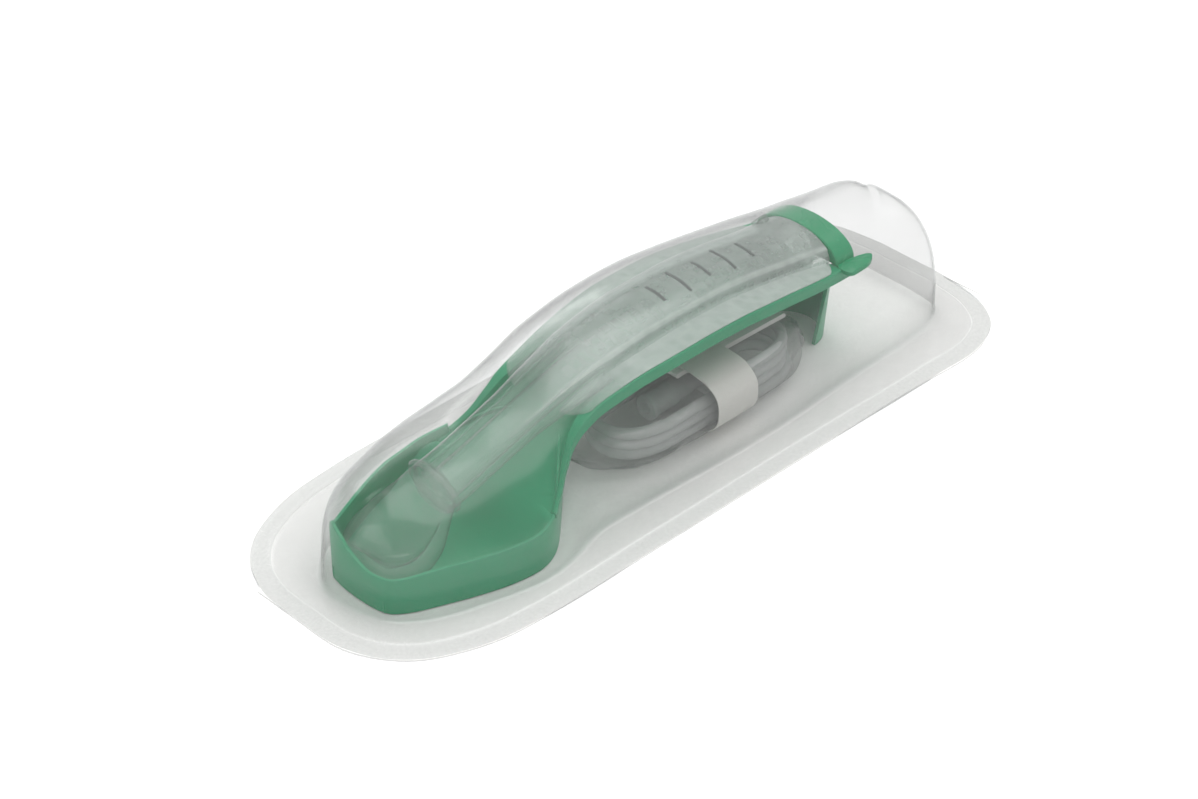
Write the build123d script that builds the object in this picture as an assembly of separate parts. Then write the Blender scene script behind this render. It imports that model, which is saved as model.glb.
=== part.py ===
from build123d import *
import math
import os

# Supraglottic airway in its sealed blister pack. Millimetres, +Z up.
# The origin is under the middle of the backing lid, on its lower face. +X runs towards the
# connector end and +Y towards the back. The cradle and the airway lie on a line that is a few
# millimetres off the middle at the cuff end, which centre_y gives.

# Pack
LID_THICKNESS = 0.4
FLANGE_BOTTOM = 0.45
FLANGE_THICKNESS = 0.5
DOME_WALL = 0.6
DOME_POWER = 2.5

# Cradle
CRADLE_BOTTOM = 0.8
CRADLE_WALL = 1.3
TROUGH_HALF_WIDTH = 15.4
TROUGH_DEPTH = 12.0
SKIRT_DEPTH = 4.3
END_WALL_X = 74.0

# Airway
STEM_START_X = -92.0
STEM_END_X = 80.5
CONNECTOR_START_X = 64.0
HOUSING_RADIUS = 8.7
PORT_X = 73.0
PORT_TILT = 40.0
CONNECTOR_RADIUS = 7.5
CONNECTOR_BORE = 5.6
CONNECTOR_Z = 35.0
CONNECTOR_END_X = 90.0
RING_START_X = 81.0
RING_HALF_WIDTH = 18.8
RING_HEIGHT = 9.4
RING_WALL = 1.4
CHANNEL_RADIUS = 1.6

# Suction set
TUBE_DIAMETER = 4.0
SET_Y = -8.0
COIL_X = 17.0
COIL_HALF_LENGTH = 49.0
COIL_HALF_WIDTH = 16.4
COIL_HALF_HEIGHT = 5.0
POUCH_Z = 11.4
POUCH_FILM = 0.3

# Half outlines as (x, half-width) pairs, from the cuff end to the connector end.
FLANGE_OUTLINE = [
    (-145, 0), (-144, 20), (-138.4, 31.7), (-130, 40.5), (-119, 46.3), (-106, 50.4), (-91, 52),
    (-40, 52.8), (40, 53.4), (95, 54.3), (121, 53.3), (131.6, 48.6), (141, 35.8), (144.6, 18), (145, 0),
]
DOME_OUTLINE = [
    (-129.5, 19), (-122, 27), (-112, 31.5), (-99, 35), (-87, 38.5), (-75, 40), (-65, 38.8), (-50, 34.5),
    (-30, 34.6), (12, 36.4), (35, 36.8), (76, 34.4), (111, 33.6), (123, 31), (127, 25),
]
BASIN_OUTLINE = [
    (-125.5, 11.8), (-119.5, 17.5), (-109, 22), (-98, 26.4), (-88, 29.6), (-77, 31.6), (-70, 30.6),
    (-64, 27.5), (-58, 22.5), (-50, 15), (-43, 8.5), (-41, 4),
]

# Heights along the pack, as (x, z) pairs.
DOME_CREST = [
    (-129.5, 27), (-122, 33), (-110, 36.5), (-90, 38.3), (-77, 39), (-61, 43.6), (-48, 50), (-31, 55.4),
    (-12, 57.6), (10, 57.2), (27, 55.4), (46, 53.2), (65, 51), (86, 48.4), (108, 46), (120, 44), (127, 37),
]
RIM_LINE = [(-51, 34.5), (-45, 39.2), (-35, 41.7), (-15, 43.8), (5, 44.5), (25, 43.7), (45, 41.1), (75, 35.9), (90, 33.5)]
STRIP_HALF_WIDTH = [(-51, 19.4), (-45, 18.2), (-25, 19.6), (5, 22.7), (30, 22.9), (60, 21.6), (90, 20)]
STEM_LINE = [
    (-92, 25.5), (-80, 28.4), (-70, 31), (-58, 34.2), (-45, 37.4), (-25, 41.2), (0, 43.2), (25, 42.6), (45, 40.2),
    (64, 36.8), (80.5, 34.9),
]
STEM_HALF_WIDTH = [(-92, 9.6), (-58, 10), (-45, 10.6), (-20, 13), (0, 14.2), (64, 14.4), (80.5, 15.0)]
STEM_HALF_HEIGHT = [(-92, 8.4), (-80, 7.8), (-58, 7.4), (-45, 8.6), (-20, 9.6), (64, 10.2), (80.5, 9.6)]
POUCH_SECTIONS = [
    (-37, 3, 2), (-32, 10, 6), (-20, 17.5, 9.4), (-4, 20.6, 10.2), (14, 20.4, 9.8), (33, 20.2, 9.6),
    (50, 18.8, 9.2), (63, 13, 7.6), (70.5, 4, 2.5),
]

written_volumes = {}


def save(shape, node):
    """Write one node's solid and keep its volume for the closing summary."""
    export_step(shape, f"parts/{node}.step")
    written_volumes[node] = shape.volume


def along(pairs, x):
    """Value at x on the straight lines between (x, value) pairs, level past both ends."""
    if x <= pairs[0][0]:
        return pairs[0][1]
    for (x0, v0), (x1, v1) in zip(pairs, pairs[1:]):
        if x <= x1:
            return v0 + (v1 - v0) * (x - x0) / (x1 - x0)
    return pairs[-1][1]


def centre_y(x):
    """Line that the cradle and the airway lie on: 4.4 mm to the front at the cuff end."""
    return along([(-85, -4.4), (90, 0.2)], x)


def section(x, points):
    """Closed flat face at station x through (y, z) points."""
    return make_face(Polyline([(x, y, z) for y, z in points], close=True))


def ellipse_section(x, y, z, half_width, half_height):
    """Elliptical face that stands across X."""
    plane = Plane(origin=(x, y, z), x_dir=(0, 1, 0), z_dir=(1, 0, 0))
    return plane * Ellipse(half_width, half_height)


def plan_face(half_outline, grow=0.0, y_line=None):
    """Flat face whose two sides are the half-outline mirrored about a centre line."""
    left_x = half_outline[0][0]
    right_x = half_outline[-1][0]
    front = []
    back = []
    for x, half in half_outline:
        shift = grow if x == right_x else -grow if x == left_x else 0.0
        centre = y_line(x) if y_line else 0.0
        wide = max(half + grow, 0.0)
        front.append((x + shift, centre - wide))
        back.append((x + shift, centre + wide))
    points = front + [p for p in reversed(back) if p not in (front[0], front[-1])]
    return make_face(Polyline(*points, close=True))


def prism_xz(points, half_depth=80.0):
    """Side profile given as (x, z) points, drawn out across the pack."""
    face = make_face(Polyline(*[(x, 0, z) for x, z in points], close=True))
    return extrude(face, amount=half_depth, dir=(0, 1, 0), both=True)


def flange_face():
    """Outline of the pack: straight sides, a rounder cuff end and a squarer connector end."""
    front = [Vector(x, -half) for x, half in FLANGE_OUTLINE]
    back = [Vector(x, half) for x, half in reversed(FLANGE_OUTLINE)]
    ends = [Vector(0, -1), Vector(0, 1)]
    sides = [Spline(*front, tangents=ends), Spline(*back, tangents=[ends[1], ends[0]])]
    return make_face(Curve() + sides)


def dome_section(x, inset):
    """Cross-section of the dome: a rounded arch that closes on its flat foot."""
    middle = centre_y(x)
    half_width = along(DOME_OUTLINE, x) + middle - inset
    height = along(DOME_CREST, x) - inset
    steps = 14
    arch = []
    for step in range(steps + 1):
        angle = math.pi * step / steps
        side = math.copysign(abs(math.cos(angle)) ** (2 / DOME_POWER), math.cos(angle))
        arch.append((middle + half_width * side, FLANGE_BOTTOM + height * math.sin(angle) ** (2 / DOME_POWER)))
    return section(x, arch)


def dome_solid(inset):
    """Solid inside one face of the dome wall."""
    stations = [x for x, _ in DOME_CREST]
    stations[0] += inset
    stations[-1] -= inset
    return loft([dome_section(x, inset) for x in stations], ruled=True)


def make_lid():
    """Flat peel-off backing."""
    return extrude(flange_face(), amount=LID_THICKNESS)


def make_blister():
    """Clear formed shell: the dome and its sealing flange."""
    flange = Pos(0, 0, FLANGE_BOTTOM) * extrude(flange_face(), amount=FLANGE_THICKNESS)
    return flange + dome_solid(0.0) - dome_solid(DOME_WALL)


def cradle_rim_profile(bottom):
    """Side view of the basin and neck below their rim."""
    return [
        (-126, bottom), (-126, 21), (-124, 21), (-121, 13.5), (-98, 15.5), (-66, 16.5), (-60, 22),
        (-54, 31), (-50.5, 34.5), (-50.5, 25.4), (-38, 27.4), (-38, bottom),
    ]


def make_basin():
    """Tub that holds the cuff, with a ramp that rises from its floor to the trough."""
    inner_face = plan_face(BASIN_OUTLINE, -CRADLE_WALL, centre_y)
    rim = prism_xz(cradle_rim_profile(CRADLE_BOTTOM))
    outer = extrude(plan_face(BASIN_OUTLINE, 0.0, centre_y), amount=45) & rim
    floor = CRADLE_BOTTOM + CRADLE_WALL
    cavity = prism_xz([(-130, floor), (-84, floor), (-50, 26.5), (-30, 28.5), (-30, 60), (-130, 60)])
    under = prism_xz([(-81, -1), (-81, CRADLE_BOTTOM), (-49, 24.4), (-30, 26.5), (-30, -1)])
    core = extrude(inner_face, amount=60)
    return outer - (core & cavity) - (core & under)


def trough_section(x):
    """Strips, trough and turned-down skirts of the arch at station x."""
    middle = centre_y(x)
    level = along(RIM_LINE, x)
    edge = along(STRIP_HALF_WIDTH, x)
    steps = 10
    upper = []
    lower = []
    for step in range(steps + 1):
        angle = math.pi * step / steps
        upper.append((-TROUGH_HALF_WIDTH * math.cos(angle), -TROUGH_DEPTH * math.sin(angle)))
        wide = TROUGH_HALF_WIDTH + CRADLE_WALL
        deep = TROUGH_DEPTH * math.sin(angle) + CRADLE_WALL
        lower.append((-wide * math.cos(angle), -deep))
    skirt = edge - CRADLE_WALL
    outline = [(-edge, 0)] + upper + [(edge, 0), (edge, -SKIRT_DEPTH), (skirt, -SKIRT_DEPTH)]
    outline += [(skirt, -CRADLE_WALL)] + lower[::-1]
    outline += [(-skirt, -CRADLE_WALL), (-skirt, -SKIRT_DEPTH), (-edge, -SKIRT_DEPTH)]
    return section(x, [(middle + y, level + z) for y, z in outline])


def make_arch():
    """Long trough that carries the stem, bowed up in the middle."""
    stations = [x for x, _ in RIM_LINE] + [60]
    return loft([trough_section(x) for x in sorted(stations)], ruled=True)


def make_end_wall():
    """Rounded wall under the connector end that stands on the lid."""
    top_z = along(RIM_LINE, END_WALL_X) - SKIRT_DEPTH + 1.0
    middle = centre_y(END_WALL_X)
    faces = []
    for inset in (0.0, CRADLE_WALL):
        top = Pos(END_WALL_X, middle, top_z) * Ellipse(15 - inset, 19 - inset)
        foot = Pos(END_WALL_X + 4, middle, CRADLE_BOTTOM) * Ellipse(13 - inset, 13 - inset)
        faces.append(loft([foot.face(), top.face()], ruled=True))
    ahead = Pos(END_WALL_X + 54, 0, 20) * Box(100, 100, 60)
    below_trough = prism_xz([(60, -5), (60, 24.2), (92, 19.6), (92, -5)])
    side_gap = Pos(80, middle, 32) * Box(60, 2 * TROUGH_HALF_WIDTH - 1, 30)
    wall = (faces[0] - faces[1]) & ahead
    return wall - (side_gap - below_trough)


def make_cradle():
    """Green moulding: basin, arch and end wall in one."""
    return make_basin() + make_arch() + make_end_wall()


def make_stem():
    """Soft curved stem with its airway lumen and the narrow gastric channel beside it."""
    stations = [x for x, _ in STEM_LINE]
    body = []
    lumen = []
    channel = []
    for x in stations:
        y = centre_y(x)
        z = along(STEM_LINE, x)
        wide = along(STEM_HALF_WIDTH, x)
        high = along(STEM_HALF_HEIGHT, x)
        body.append(ellipse_section(x, y, z, wide, high))
        lumen.append(ellipse_section(x, y - 1.6, z, 5.6, 5.6))
        channel.append(ellipse_section(x, y + wide - 3.2, z, CHANNEL_RADIUS, CHANNEL_RADIUS))
    housing_x = CONNECTOR_START_X - 0.2
    middle = centre_y(CONNECTOR_START_X)
    housing = Pos(housing_x + 20, middle, CONNECTOR_Z) * Rot(0, 90, 0) * Cylinder(HOUSING_RADIUS, 40)
    return loft(body) - loft(lumen) - loft(channel) - housing - port_line(3.3, 0.0, 30.0)


def port_line(radius, start, end):
    """Cylinder along the oxygen port, which leans up to the back, from start to end off the axis."""
    middle = centre_y(CONNECTOR_START_X)
    turned = Pos(PORT_X, middle, CONNECTOR_Z) * Rot(PORT_TILT - 90, 0, 0)
    return turned * Pos(0, 0, (start + end) / 2) * Cylinder(radius, end - start)


def make_cuff():
    """Soft bowl that seals over the larynx, tip towards -X, open on top."""
    rings = [
        (-123.4, 11.6, 6, 2.4), (-121.5, 11.8, 11, 4), (-117, 12.2, 15, 6), (-110, 13.6, 17.6, 7.4),
        (-103, 16.6, 16.4, 8.6), (-97, 20.8, 13, 9), (STEM_START_X, 25.5, 9.6, 8.4),
    ]
    body = loft([ellipse_section(x, centre_y(x), z, wide, high) for x, z, wide, high in rings], ruled=True)
    bowl = Pos(-109, centre_y(-109), 24) * Rot(0, -20, 0) * scale(Sphere(1), by=(12.5, 11.6, 9.5))
    lumen = Pos(-96, centre_y(-96) - 1.6, 25.5) * Rot(0, 90, 0) * Cylinder(4.6, 24)
    return body - bowl - lumen


def make_connector():
    """Rigid 15 mm connector: spigot in the stem, flange, and the male cone."""
    middle = centre_y(CONNECTOR_START_X)
    turned = Plane(origin=(CONNECTOR_START_X, middle, CONNECTOR_Z), z_dir=(1, 0, 0))
    flange = turned * Pos(0, 0, 1.5) * Cylinder(CONNECTOR_RADIUS + 1.1, 2.6)
    length = CONNECTOR_END_X - CONNECTOR_START_X - 2.8
    cone = turned * Pos(0, 0, 2.8 + length / 2) * Cylinder(CONNECTOR_RADIUS, length)
    bore = turned * Pos(0, 0, 15) * Cylinder(CONNECTOR_BORE, 40)
    return flange + cone - bore


def make_hook_ring():
    """Arched ring over the connector with a web, a hub and a flat hook at its front foot."""
    x = (RING_START_X + CONNECTOR_END_X) / 2
    length = CONNECTOR_END_X - RING_START_X
    middle = centre_y(x)
    level = along(RIM_LINE, x) + 1.1
    outer = ellipse_section(RING_START_X, middle, level, RING_HALF_WIDTH, RING_HEIGHT)
    inner = ellipse_section(RING_START_X, middle, level, RING_HALF_WIDTH - RING_WALL, RING_HEIGHT - RING_WALL)
    upper_half = Pos(x, middle, level + 20) * Box(60, 60, 40)
    arch = extrude(outer, amount=length, dir=(1, 0, 0)) - extrude(inner, amount=length, dir=(1, 0, 0))
    web = extrude(inner, amount=1.6, dir=(1, 0, 0))
    clear = Pos(x, centre_y(CONNECTOR_START_X), CONNECTOR_Z) * Rot(0, 90, 0) * Cylinder(CONNECTOR_RADIUS + 0.05, 60)
    lug_outline = [(81, 0), (81, -6.4), (86, -6.9), (91.6, -6.4), (96, -4), (91.6, -2), (89.6, 0)]
    foot_y = middle - RING_HALF_WIDTH + RING_WALL
    lug_face = make_face(Polyline(*[(px, foot_y + py, level - 0.4) for px, py in lug_outline], close=True))
    lug = extrude(lug_face, amount=1.8, dir=(0, 0, 1))
    return ((arch + web) & upper_half) - clear + lug


def make_port():
    """Oxygen port: a short nipple that leans up to the back through the stem's shoulder."""
    middle = centre_y(CONNECTOR_START_X)
    body = Pos(CONNECTOR_START_X + 10, middle, CONNECTOR_Z) * Rot(0, 90, 0) * Cylinder(CONNECTOR_RADIUS + 0.02, 30)
    return port_line(2.2, 6.0, 14.0) - body


def make_port_cap():
    """Push-on cap of the oxygen port."""
    return port_line(3.0, 12.6, 15.0) - port_line(2.23, 12.0, 14.0)


def make_pouch():
    """Clear bag round the suction tube, a pillow that narrows to both ends."""
    outer = []
    inner = []
    for x, wide, high in POUCH_SECTIONS:
        outer.append(ellipse_section(x, SET_Y, POUCH_Z, wide, high))
        inner.append(ellipse_section(x, SET_Y, POUCH_Z, wide - POUCH_FILM, high - POUCH_FILM))
    hollow = loft(inner, ruled=True) & (Pos(COIL_X, SET_Y, POUCH_Z) * Box(106, 60, 40))
    return loft(outer, ruled=True) - hollow


def make_coil():
    """Outer shape of the coiled suction tube: a flat oval ring."""
    inner_length = COIL_HALF_LENGTH - 2.2 * TUBE_DIAMETER
    inner_width = COIL_HALF_WIDTH - 2.2 * TUBE_DIAMETER
    ring = Ellipse(COIL_HALF_LENGTH, COIL_HALF_WIDTH) - Ellipse(inner_length, inner_width)
    return Pos(COIL_X, SET_Y, POUCH_Z - COIL_HALF_HEIGHT) * extrude(ring, amount=2 * COIL_HALF_HEIGHT)


def make_funnel():
    """Suction connector on the end of the tube: a stepped funnel with a thumb hole."""
    axis = Plane(origin=(COIL_X - 18, SET_Y, POUCH_Z), z_dir=(1, 0, 0))
    mouth = axis * Pos(0, 0, 10) * Cone(bottom_radius=4.6, top_radius=3.4, height=20)
    neck = axis * Pos(0, 0, 27) * Cylinder(2.9, 14)
    bore = axis * Pos(0, 0, 17) * Cylinder(2.05, 60)
    thumb_hole = Pos(COIL_X - 4, SET_Y, POUCH_Z + 3) * Cylinder(1.2, 6)
    return mouth + neck - bore - thumb_hole


def make_band():
    """Paper wrap round the bag and the strap."""
    start = 14.0
    width = 19.0
    outer = ellipse_section(start, SET_Y, 12.7, 21.4, 11.9)
    inner = ellipse_section(start, SET_Y, 12.7, 21.1, 11.6)
    return extrude(outer, amount=width, dir=(1, 0, 0)) - extrude(inner, amount=width, dir=(1, 0, 0))


def make_strap():
    """Head strap, folded flat on the bag."""
    return Pos(34.5, SET_Y - 1, 22.6) * Box(53, 10, 1.6)


def make_sachet():
    """Lubricant sachet standing behind the arch."""
    sealed = Pos(26, 26.2, 14.5) * Box(66, 0.6, 27)
    fill = Pos(26, 26.2, 14.5) * Box(52, 2.6, 19)
    return sealed + fill


def main():
    """Write every node."""
    os.makedirs("parts", exist_ok=True)
    save(make_lid(), "backing_lid")
    save(make_blister(), "blister_shell")
    save(make_cradle(), "cradle")
    save(make_stem(), "airway_stem")
    save(make_cuff(), "airway_cuff")
    save(make_connector(), "airway_connector")
    save(make_hook_ring(), "hook_ring")
    save(make_port(), "oxygen_port")
    save(make_port_cap(), "oxygen_port_cap")
    save(make_pouch(), "tube_pouch")
    save(make_coil(), "suction_tube_coil")
    save(make_funnel(), "suction_funnel")
    save(make_band(), "paper_band")
    save(make_strap(), "folded_strap")
    save(make_sachet(), "lubricant_sachet")
    for node, volume in written_volumes.items():
        print(f"{node}: {volume:.1f} mm3")


main()
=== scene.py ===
"""Looks of a supraglottic airway in its sealed blister pack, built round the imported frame.

Lengths in the sub-assemblies are millimetres in the frame's own axes: +X to the connector end,
+Y to the back, +Z up, origin under the middle of the lid. Surfaces are numpy grids, which Skin
turns into closed meshes in metres.
"""

import logging
import math
from dataclasses import dataclass
from enum import Enum

import bmesh
import bpy
import numpy as np
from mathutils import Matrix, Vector


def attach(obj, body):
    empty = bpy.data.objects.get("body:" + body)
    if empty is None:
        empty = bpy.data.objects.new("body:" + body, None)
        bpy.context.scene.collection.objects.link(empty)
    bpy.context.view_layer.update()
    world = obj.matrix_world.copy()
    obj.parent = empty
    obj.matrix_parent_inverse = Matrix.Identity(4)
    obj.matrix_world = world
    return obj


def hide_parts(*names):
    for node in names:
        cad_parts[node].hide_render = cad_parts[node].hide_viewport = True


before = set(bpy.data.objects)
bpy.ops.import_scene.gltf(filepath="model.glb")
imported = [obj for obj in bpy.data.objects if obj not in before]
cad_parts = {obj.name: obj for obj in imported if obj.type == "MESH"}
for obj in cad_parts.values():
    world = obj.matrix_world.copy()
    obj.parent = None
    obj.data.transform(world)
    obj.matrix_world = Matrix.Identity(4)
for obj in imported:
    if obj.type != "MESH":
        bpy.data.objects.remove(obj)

LOG = logging.getLogger("airway_pack")
MM = 0.001
WELD = 1e-7
SHARP_EDGE = math.radians(42)

Pairs = list[tuple[float, float]]
Grid = np.ndarray


class Body(Enum):
    """Bodies of the frame that pieces ride on."""

    BACKING = "backing"
    SUCTION_SET = "suction_set"
    CRADLE = "cradle_body"
    AIRWAY = "airway"
    BLISTER = "blister"


class Slot(Enum):
    """Material slots of the record."""

    LID = "paper_lid"
    DOME = "clear_petg"
    CRADLE = "green_moulding"
    GEL = "clear_soft_gel"
    CONNECTOR = "clear_rigid"
    RING = "green_ring"
    TUBE = "clear_tube"
    FILM = "clear_film"
    BAND = "band_paper"
    STRAP = "strap_fabric"
    FOIL = "sachet_foil"


class Ends(Enum):
    """How the first and last rows of a closed grid are shut."""

    POLE = "pole"
    PINCH = "pinch"
    LOOP = "loop"
    OPEN = "open"


# ---------------------------------------------------------------- shapes


def through(pairs: Pairs, x: Grid | float) -> Grid:
    """Smooth value at x through (x, value) pairs, with no overshoot.

    The slope at a knot is the harmonic mean of the slopes beside it, or level at a turn, and
    each span is the cubic with those end slopes.

    Args:
        pairs: Knots in rising x.
        x: Places to read, held level past both ends.

    Returns:
        The value at each place.
    """
    knots, values = np.array(pairs, float).T
    gaps = np.diff(knots)
    slopes = np.diff(values) / gaps
    before, after = slopes[:-1], slopes[1:]
    total = np.where(np.abs(before + after) < 1e-12, 1.0, before + after)
    inner = np.where(before * after > 0, 2 * before * after / total, 0.0)
    tangents = np.concatenate([slopes[:1], inner, slopes[-1:]])
    place = np.clip(np.asarray(x, float), knots[0], knots[-1])
    cell = np.clip(np.searchsorted(knots, place) - 1, 0, len(gaps) - 1)
    t = (place - knots[cell]) / gaps[cell]
    start = (1 + 2 * t) * (1 - t) ** 2 * values[cell] + t * (1 - t) ** 2 * gaps[cell] * tangents[cell]
    end = t**2 * (3 - 2 * t) * values[cell + 1] + t**2 * (t - 1) * gaps[cell] * tangents[cell + 1]
    return start + end


def centre_y(x: Grid | float) -> Grid:
    """Line that the cradle and the airway lie on, 4.4 mm to the front at the cuff end."""
    return np.interp(x, [-85, 90], [-4.4, 0.2])


def even_path(points: Grid, count: int) -> Grid:
    """The same line as points, cut into equal lengths.

    Args:
        points: Points of the line, in order.
        count: Number of points wanted.

    Returns:
        (count, axes) array.
    """
    steps = np.linalg.norm(np.diff(points, axis=0), axis=1)
    travelled = np.concatenate([[0.0], np.cumsum(steps)])
    places = np.linspace(0, travelled[-1], count)
    return np.stack([np.interp(places, travelled, points[:, axis]) for axis in range(points.shape[1])], 1)


def plan_half(pairs: Pairs, count: int) -> Grid:
    """Half of a plan outline from its left tip to its right tip, square to the centre line at both.

    A cubic runs through the (x, half-width) pairs with each knot's slope taken from its two
    neighbours by chord length, and the line is then cut into equal lengths.

    Args:
        pairs: Knots, the first and last with a half-width of 0.
        count: Number of points.

    Returns:
        (count, 2) array of x and half-width.
    """
    knots = np.array(pairs, float)
    chords = np.concatenate([[0.0], np.cumsum(np.linalg.norm(np.diff(knots, axis=0), axis=1))])
    tangents = np.gradient(knots, chords, axis=0)
    tangents[0], tangents[-1] = (0, 1), (0, -1)
    fine = np.linspace(0, chords[-1], 1200)
    cell = np.clip(np.searchsorted(chords, fine) - 1, 0, len(chords) - 2)
    gap = (chords[cell + 1] - chords[cell])[:, None]
    t = ((fine - chords[cell]) / gap[:, 0])[:, None]
    line = (1 + 2 * t) * (1 - t) ** 2 * knots[cell] + t * (1 - t) ** 2 * gap * tangents[cell]
    line += t**2 * (3 - 2 * t) * knots[cell + 1] + t**2 * (t - 1) * gap * tangents[cell + 1]
    return even_path(line, count)


def all_round(half: Grid) -> Grid:
    """Whole outline from a half: the front from left to right, then the back."""
    front = half * (1, -1)
    return np.concatenate([front, half[-2:0:-1]])


def rounded_outline(corners: Grid, count: int, passes: int = 3) -> Grid:
    """Closed outline with its corners cut off at a quarter and three quarters of each side, again
    and again, which rounds them, then cut into equal lengths.

    Args:
        corners: Corners in order.
        count: Number of points wanted.
        passes: How many times the corners are cut.

    Returns:
        (count, 2) array, not closed on itself.
    """
    line = np.asarray(corners, float)
    for _ in range(passes):
        ahead = np.roll(line, -1, axis=0)
        line = np.stack([0.75 * line + 0.25 * ahead, 0.25 * line + 0.75 * ahead], 1).reshape(-1, 2)
    return even_path(np.concatenate([line, line[:1]]), count + 1)[:-1]


def outward(outline: Grid) -> Grid:
    """Unit normals of a closed plan outline that runs against the clock.

    Args:
        outline: The outline, a point a row.

    Returns:
        A unit normal for each point.
    """
    along = np.roll(outline, -1, axis=0) - np.roll(outline, 1, axis=0)
    normal = np.stack([along[:, 1], -along[:, 0]], 1)
    return normal / np.linalg.norm(normal, axis=1, keepdims=True)


def grid_normals(grid: Grid) -> Grid:
    """Unit normals of a grid whose columns close, from the cross product of its two directions.

    Args:
        grid: Rows by columns by 3.

    Returns:
        Unit normals in the grid's shape.
    """
    down = np.gradient(grid, axis=0)
    across = np.roll(grid, -1, axis=1) - np.roll(grid, 1, axis=1)
    normal = np.cross(across, down)
    size = np.linalg.norm(normal, axis=2, keepdims=True)
    return normal / np.maximum(size, 1e-9)


def oval_rings(
    x: Grid, y: Grid, z: Grid, wide: Grid, high: Grid, power: float = 2.0, sides: int = 48
) -> Grid:
    """Rings that stand across X, each a superellipse: the half-width times the cosine and the
    half-height times the sine of the angle, both raised to 2/power.

    Args:
        x, y, z: Middle of each ring.
        wide, high: Half-width and half-height of each ring.
        power: 2 for an ellipse, more for a fuller oval.
        sides: Points round each ring.

    Returns:
        Grid of rings by points.
    """
    angle = np.arange(sides) * 2 * math.pi / sides
    cosine, sine = np.cos(angle), np.sin(angle)
    across = np.sign(cosine) * np.abs(cosine) ** (2 / power)
    up = np.sign(sine) * np.abs(sine) ** (2 / power)
    ones = np.ones(sides)
    columns = [np.outer(x, ones), y[:, None] + np.outer(wide, across), z[:, None] + np.outer(high, up)]
    return np.stack(columns, 2)


def lathe(profile: Pairs, start: tuple[float, float, float], sides: int = 40) -> Grid:
    """Surface turned about a line along X: each (x, radius) of the profile is a circle.

    Args:
        profile: Distance along the line and radius there.
        start: Where the line starts.
        sides: Points round each circle.

    Returns:
        Grid of circles by points.
    """
    run, radius = np.array(profile, float).T
    x = start[0] + run
    level = np.ones_like(x)
    return oval_rings(x, start[1] * level, start[2] * level, radius, radius, sides=sides)


class Skin:
    """Closed surfaces gathered into one mesh, each a grid of points in millimetres."""

    def __init__(self, name: str) -> None:
        """Start an empty mesh called name.

        Args:
            name: Name of the mesh and of its object.
        """
        self.name = name
        self.points: list[Grid] = []
        self.faces: list[Grid] = []
        self.marks: list[Grid] = []
        self.count = 0

    def add(self, grid: Grid, ends: Ends = Ends.POLE, cavity: bool = False, mark: Grid | None = None) -> None:
        """Add a grid whose columns close on themselves.

        Args:
            grid: Rows by columns by 3.
            ends: POLE draws each end row to its middle, PINCH folds a thin band's end on itself,
                LOOP joins the last row to the first, and OPEN leaves them.
            cavity: True for a hollow inside a solid, whose faces look into the hollow.
            mark: Value at each point of the grid for the material to read.
        """
        marks = np.zeros(grid.shape[:2]) if mark is None else mark
        if ends in (Ends.POLE, Ends.PINCH):
            rows = [grid[0], grid[-1]]
            if ends is Ends.POLE:
                shut = [np.broadcast_to(row.mean(0), row.shape) for row in rows]
            else:
                shut = [(row + row[::-1]) / 2 for row in rows]
            grid = np.concatenate([shut[0][None], grid, shut[1][None]])
            marks = np.concatenate([marks[:1], marks, marks[-1:]])
        rows, columns = grid.shape[:2]
        index = np.arange(rows * columns).reshape(rows, columns)
        if ends is Ends.LOOP:
            index = np.concatenate([index, index[:1]])
        beside = np.roll(index, -1, axis=1)
        faces = np.stack([index[:-1], beside[:-1], beside[1:], index[1:]], 2).reshape(-1, 4)
        flat = grid.reshape(-1, 3)
        corners = flat[faces]
        area = np.cross(corners[:, 2] - corners[:, 0], corners[:, 3] - corners[:, 1])
        inside_out = (area * corners.mean(1)).sum() < 0
        if inside_out != cavity:
            faces = faces[:, ::-1]
        self.points.append(flat)
        self.faces.append(faces + self.count)
        self.marks.append(marks.ravel())
        self.count += len(flat)

    def build(self) -> bpy.types.Object:
        """Make the mesh, weld its poles and seams, and smooth all but its sharp edges.

        Returns:
            The object, in the scene.
        """
        mesh = bpy.data.meshes.new(self.name)
        mesh.from_pydata((np.concatenate(self.points) * MM).tolist(), [], np.concatenate(self.faces).tolist())
        # The mark carries the flange's heat seal and, on the gel, a painted highlight and painted reflection.
        mark = mesh.attributes.new("seal_and_sheen", "FLOAT", "POINT")
        mark.data.foreach_set("value", np.concatenate(self.marks).astype(np.float32))
        edit = bmesh.new()
        edit.from_mesh(mesh)
        bmesh.ops.remove_doubles(edit, verts=edit.verts, dist=WELD)
        edit.to_mesh(mesh)
        edit.free()
        mesh.shade_smooth()
        mesh.set_sharp_from_angle(angle=SHARP_EDGE)
        piece = bpy.data.objects.new(self.name, mesh)
        bpy.context.scene.collection.objects.link(piece)
        return piece


def dress(piece: bpy.types.Object, material: bpy.types.Material, body: Body, slot: Slot, *nodes: str) -> None:
    """Give a piece its material and body, and hide the nodes that it stands for.

    Args:
        piece: The finished piece.
        material: Its material.
        body: The body it rides on.
        slot: The record's slot that its finish comes from; not used.
        nodes: Nodes of the frame that it replaces.
    """
    piece.data.materials.clear()
    piece.data.materials.append(material)
    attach(piece, body.value)
    if nodes:
        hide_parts(*nodes)
    LOG.info("%s rides on %s", piece.name, body.value)


def finish_node(node: str, material: bpy.types.Material) -> None:
    """Give a node of the frame that keeps its own mesh a material.

    Args:
        node: Name of the node.
        material: Its material.
    """
    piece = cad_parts[node]
    piece.data.materials.clear()
    piece.data.materials.append(material)
    LOG.info("%s keeps its own shape", node)


# ---------------------------------------------------------------- finishes


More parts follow.
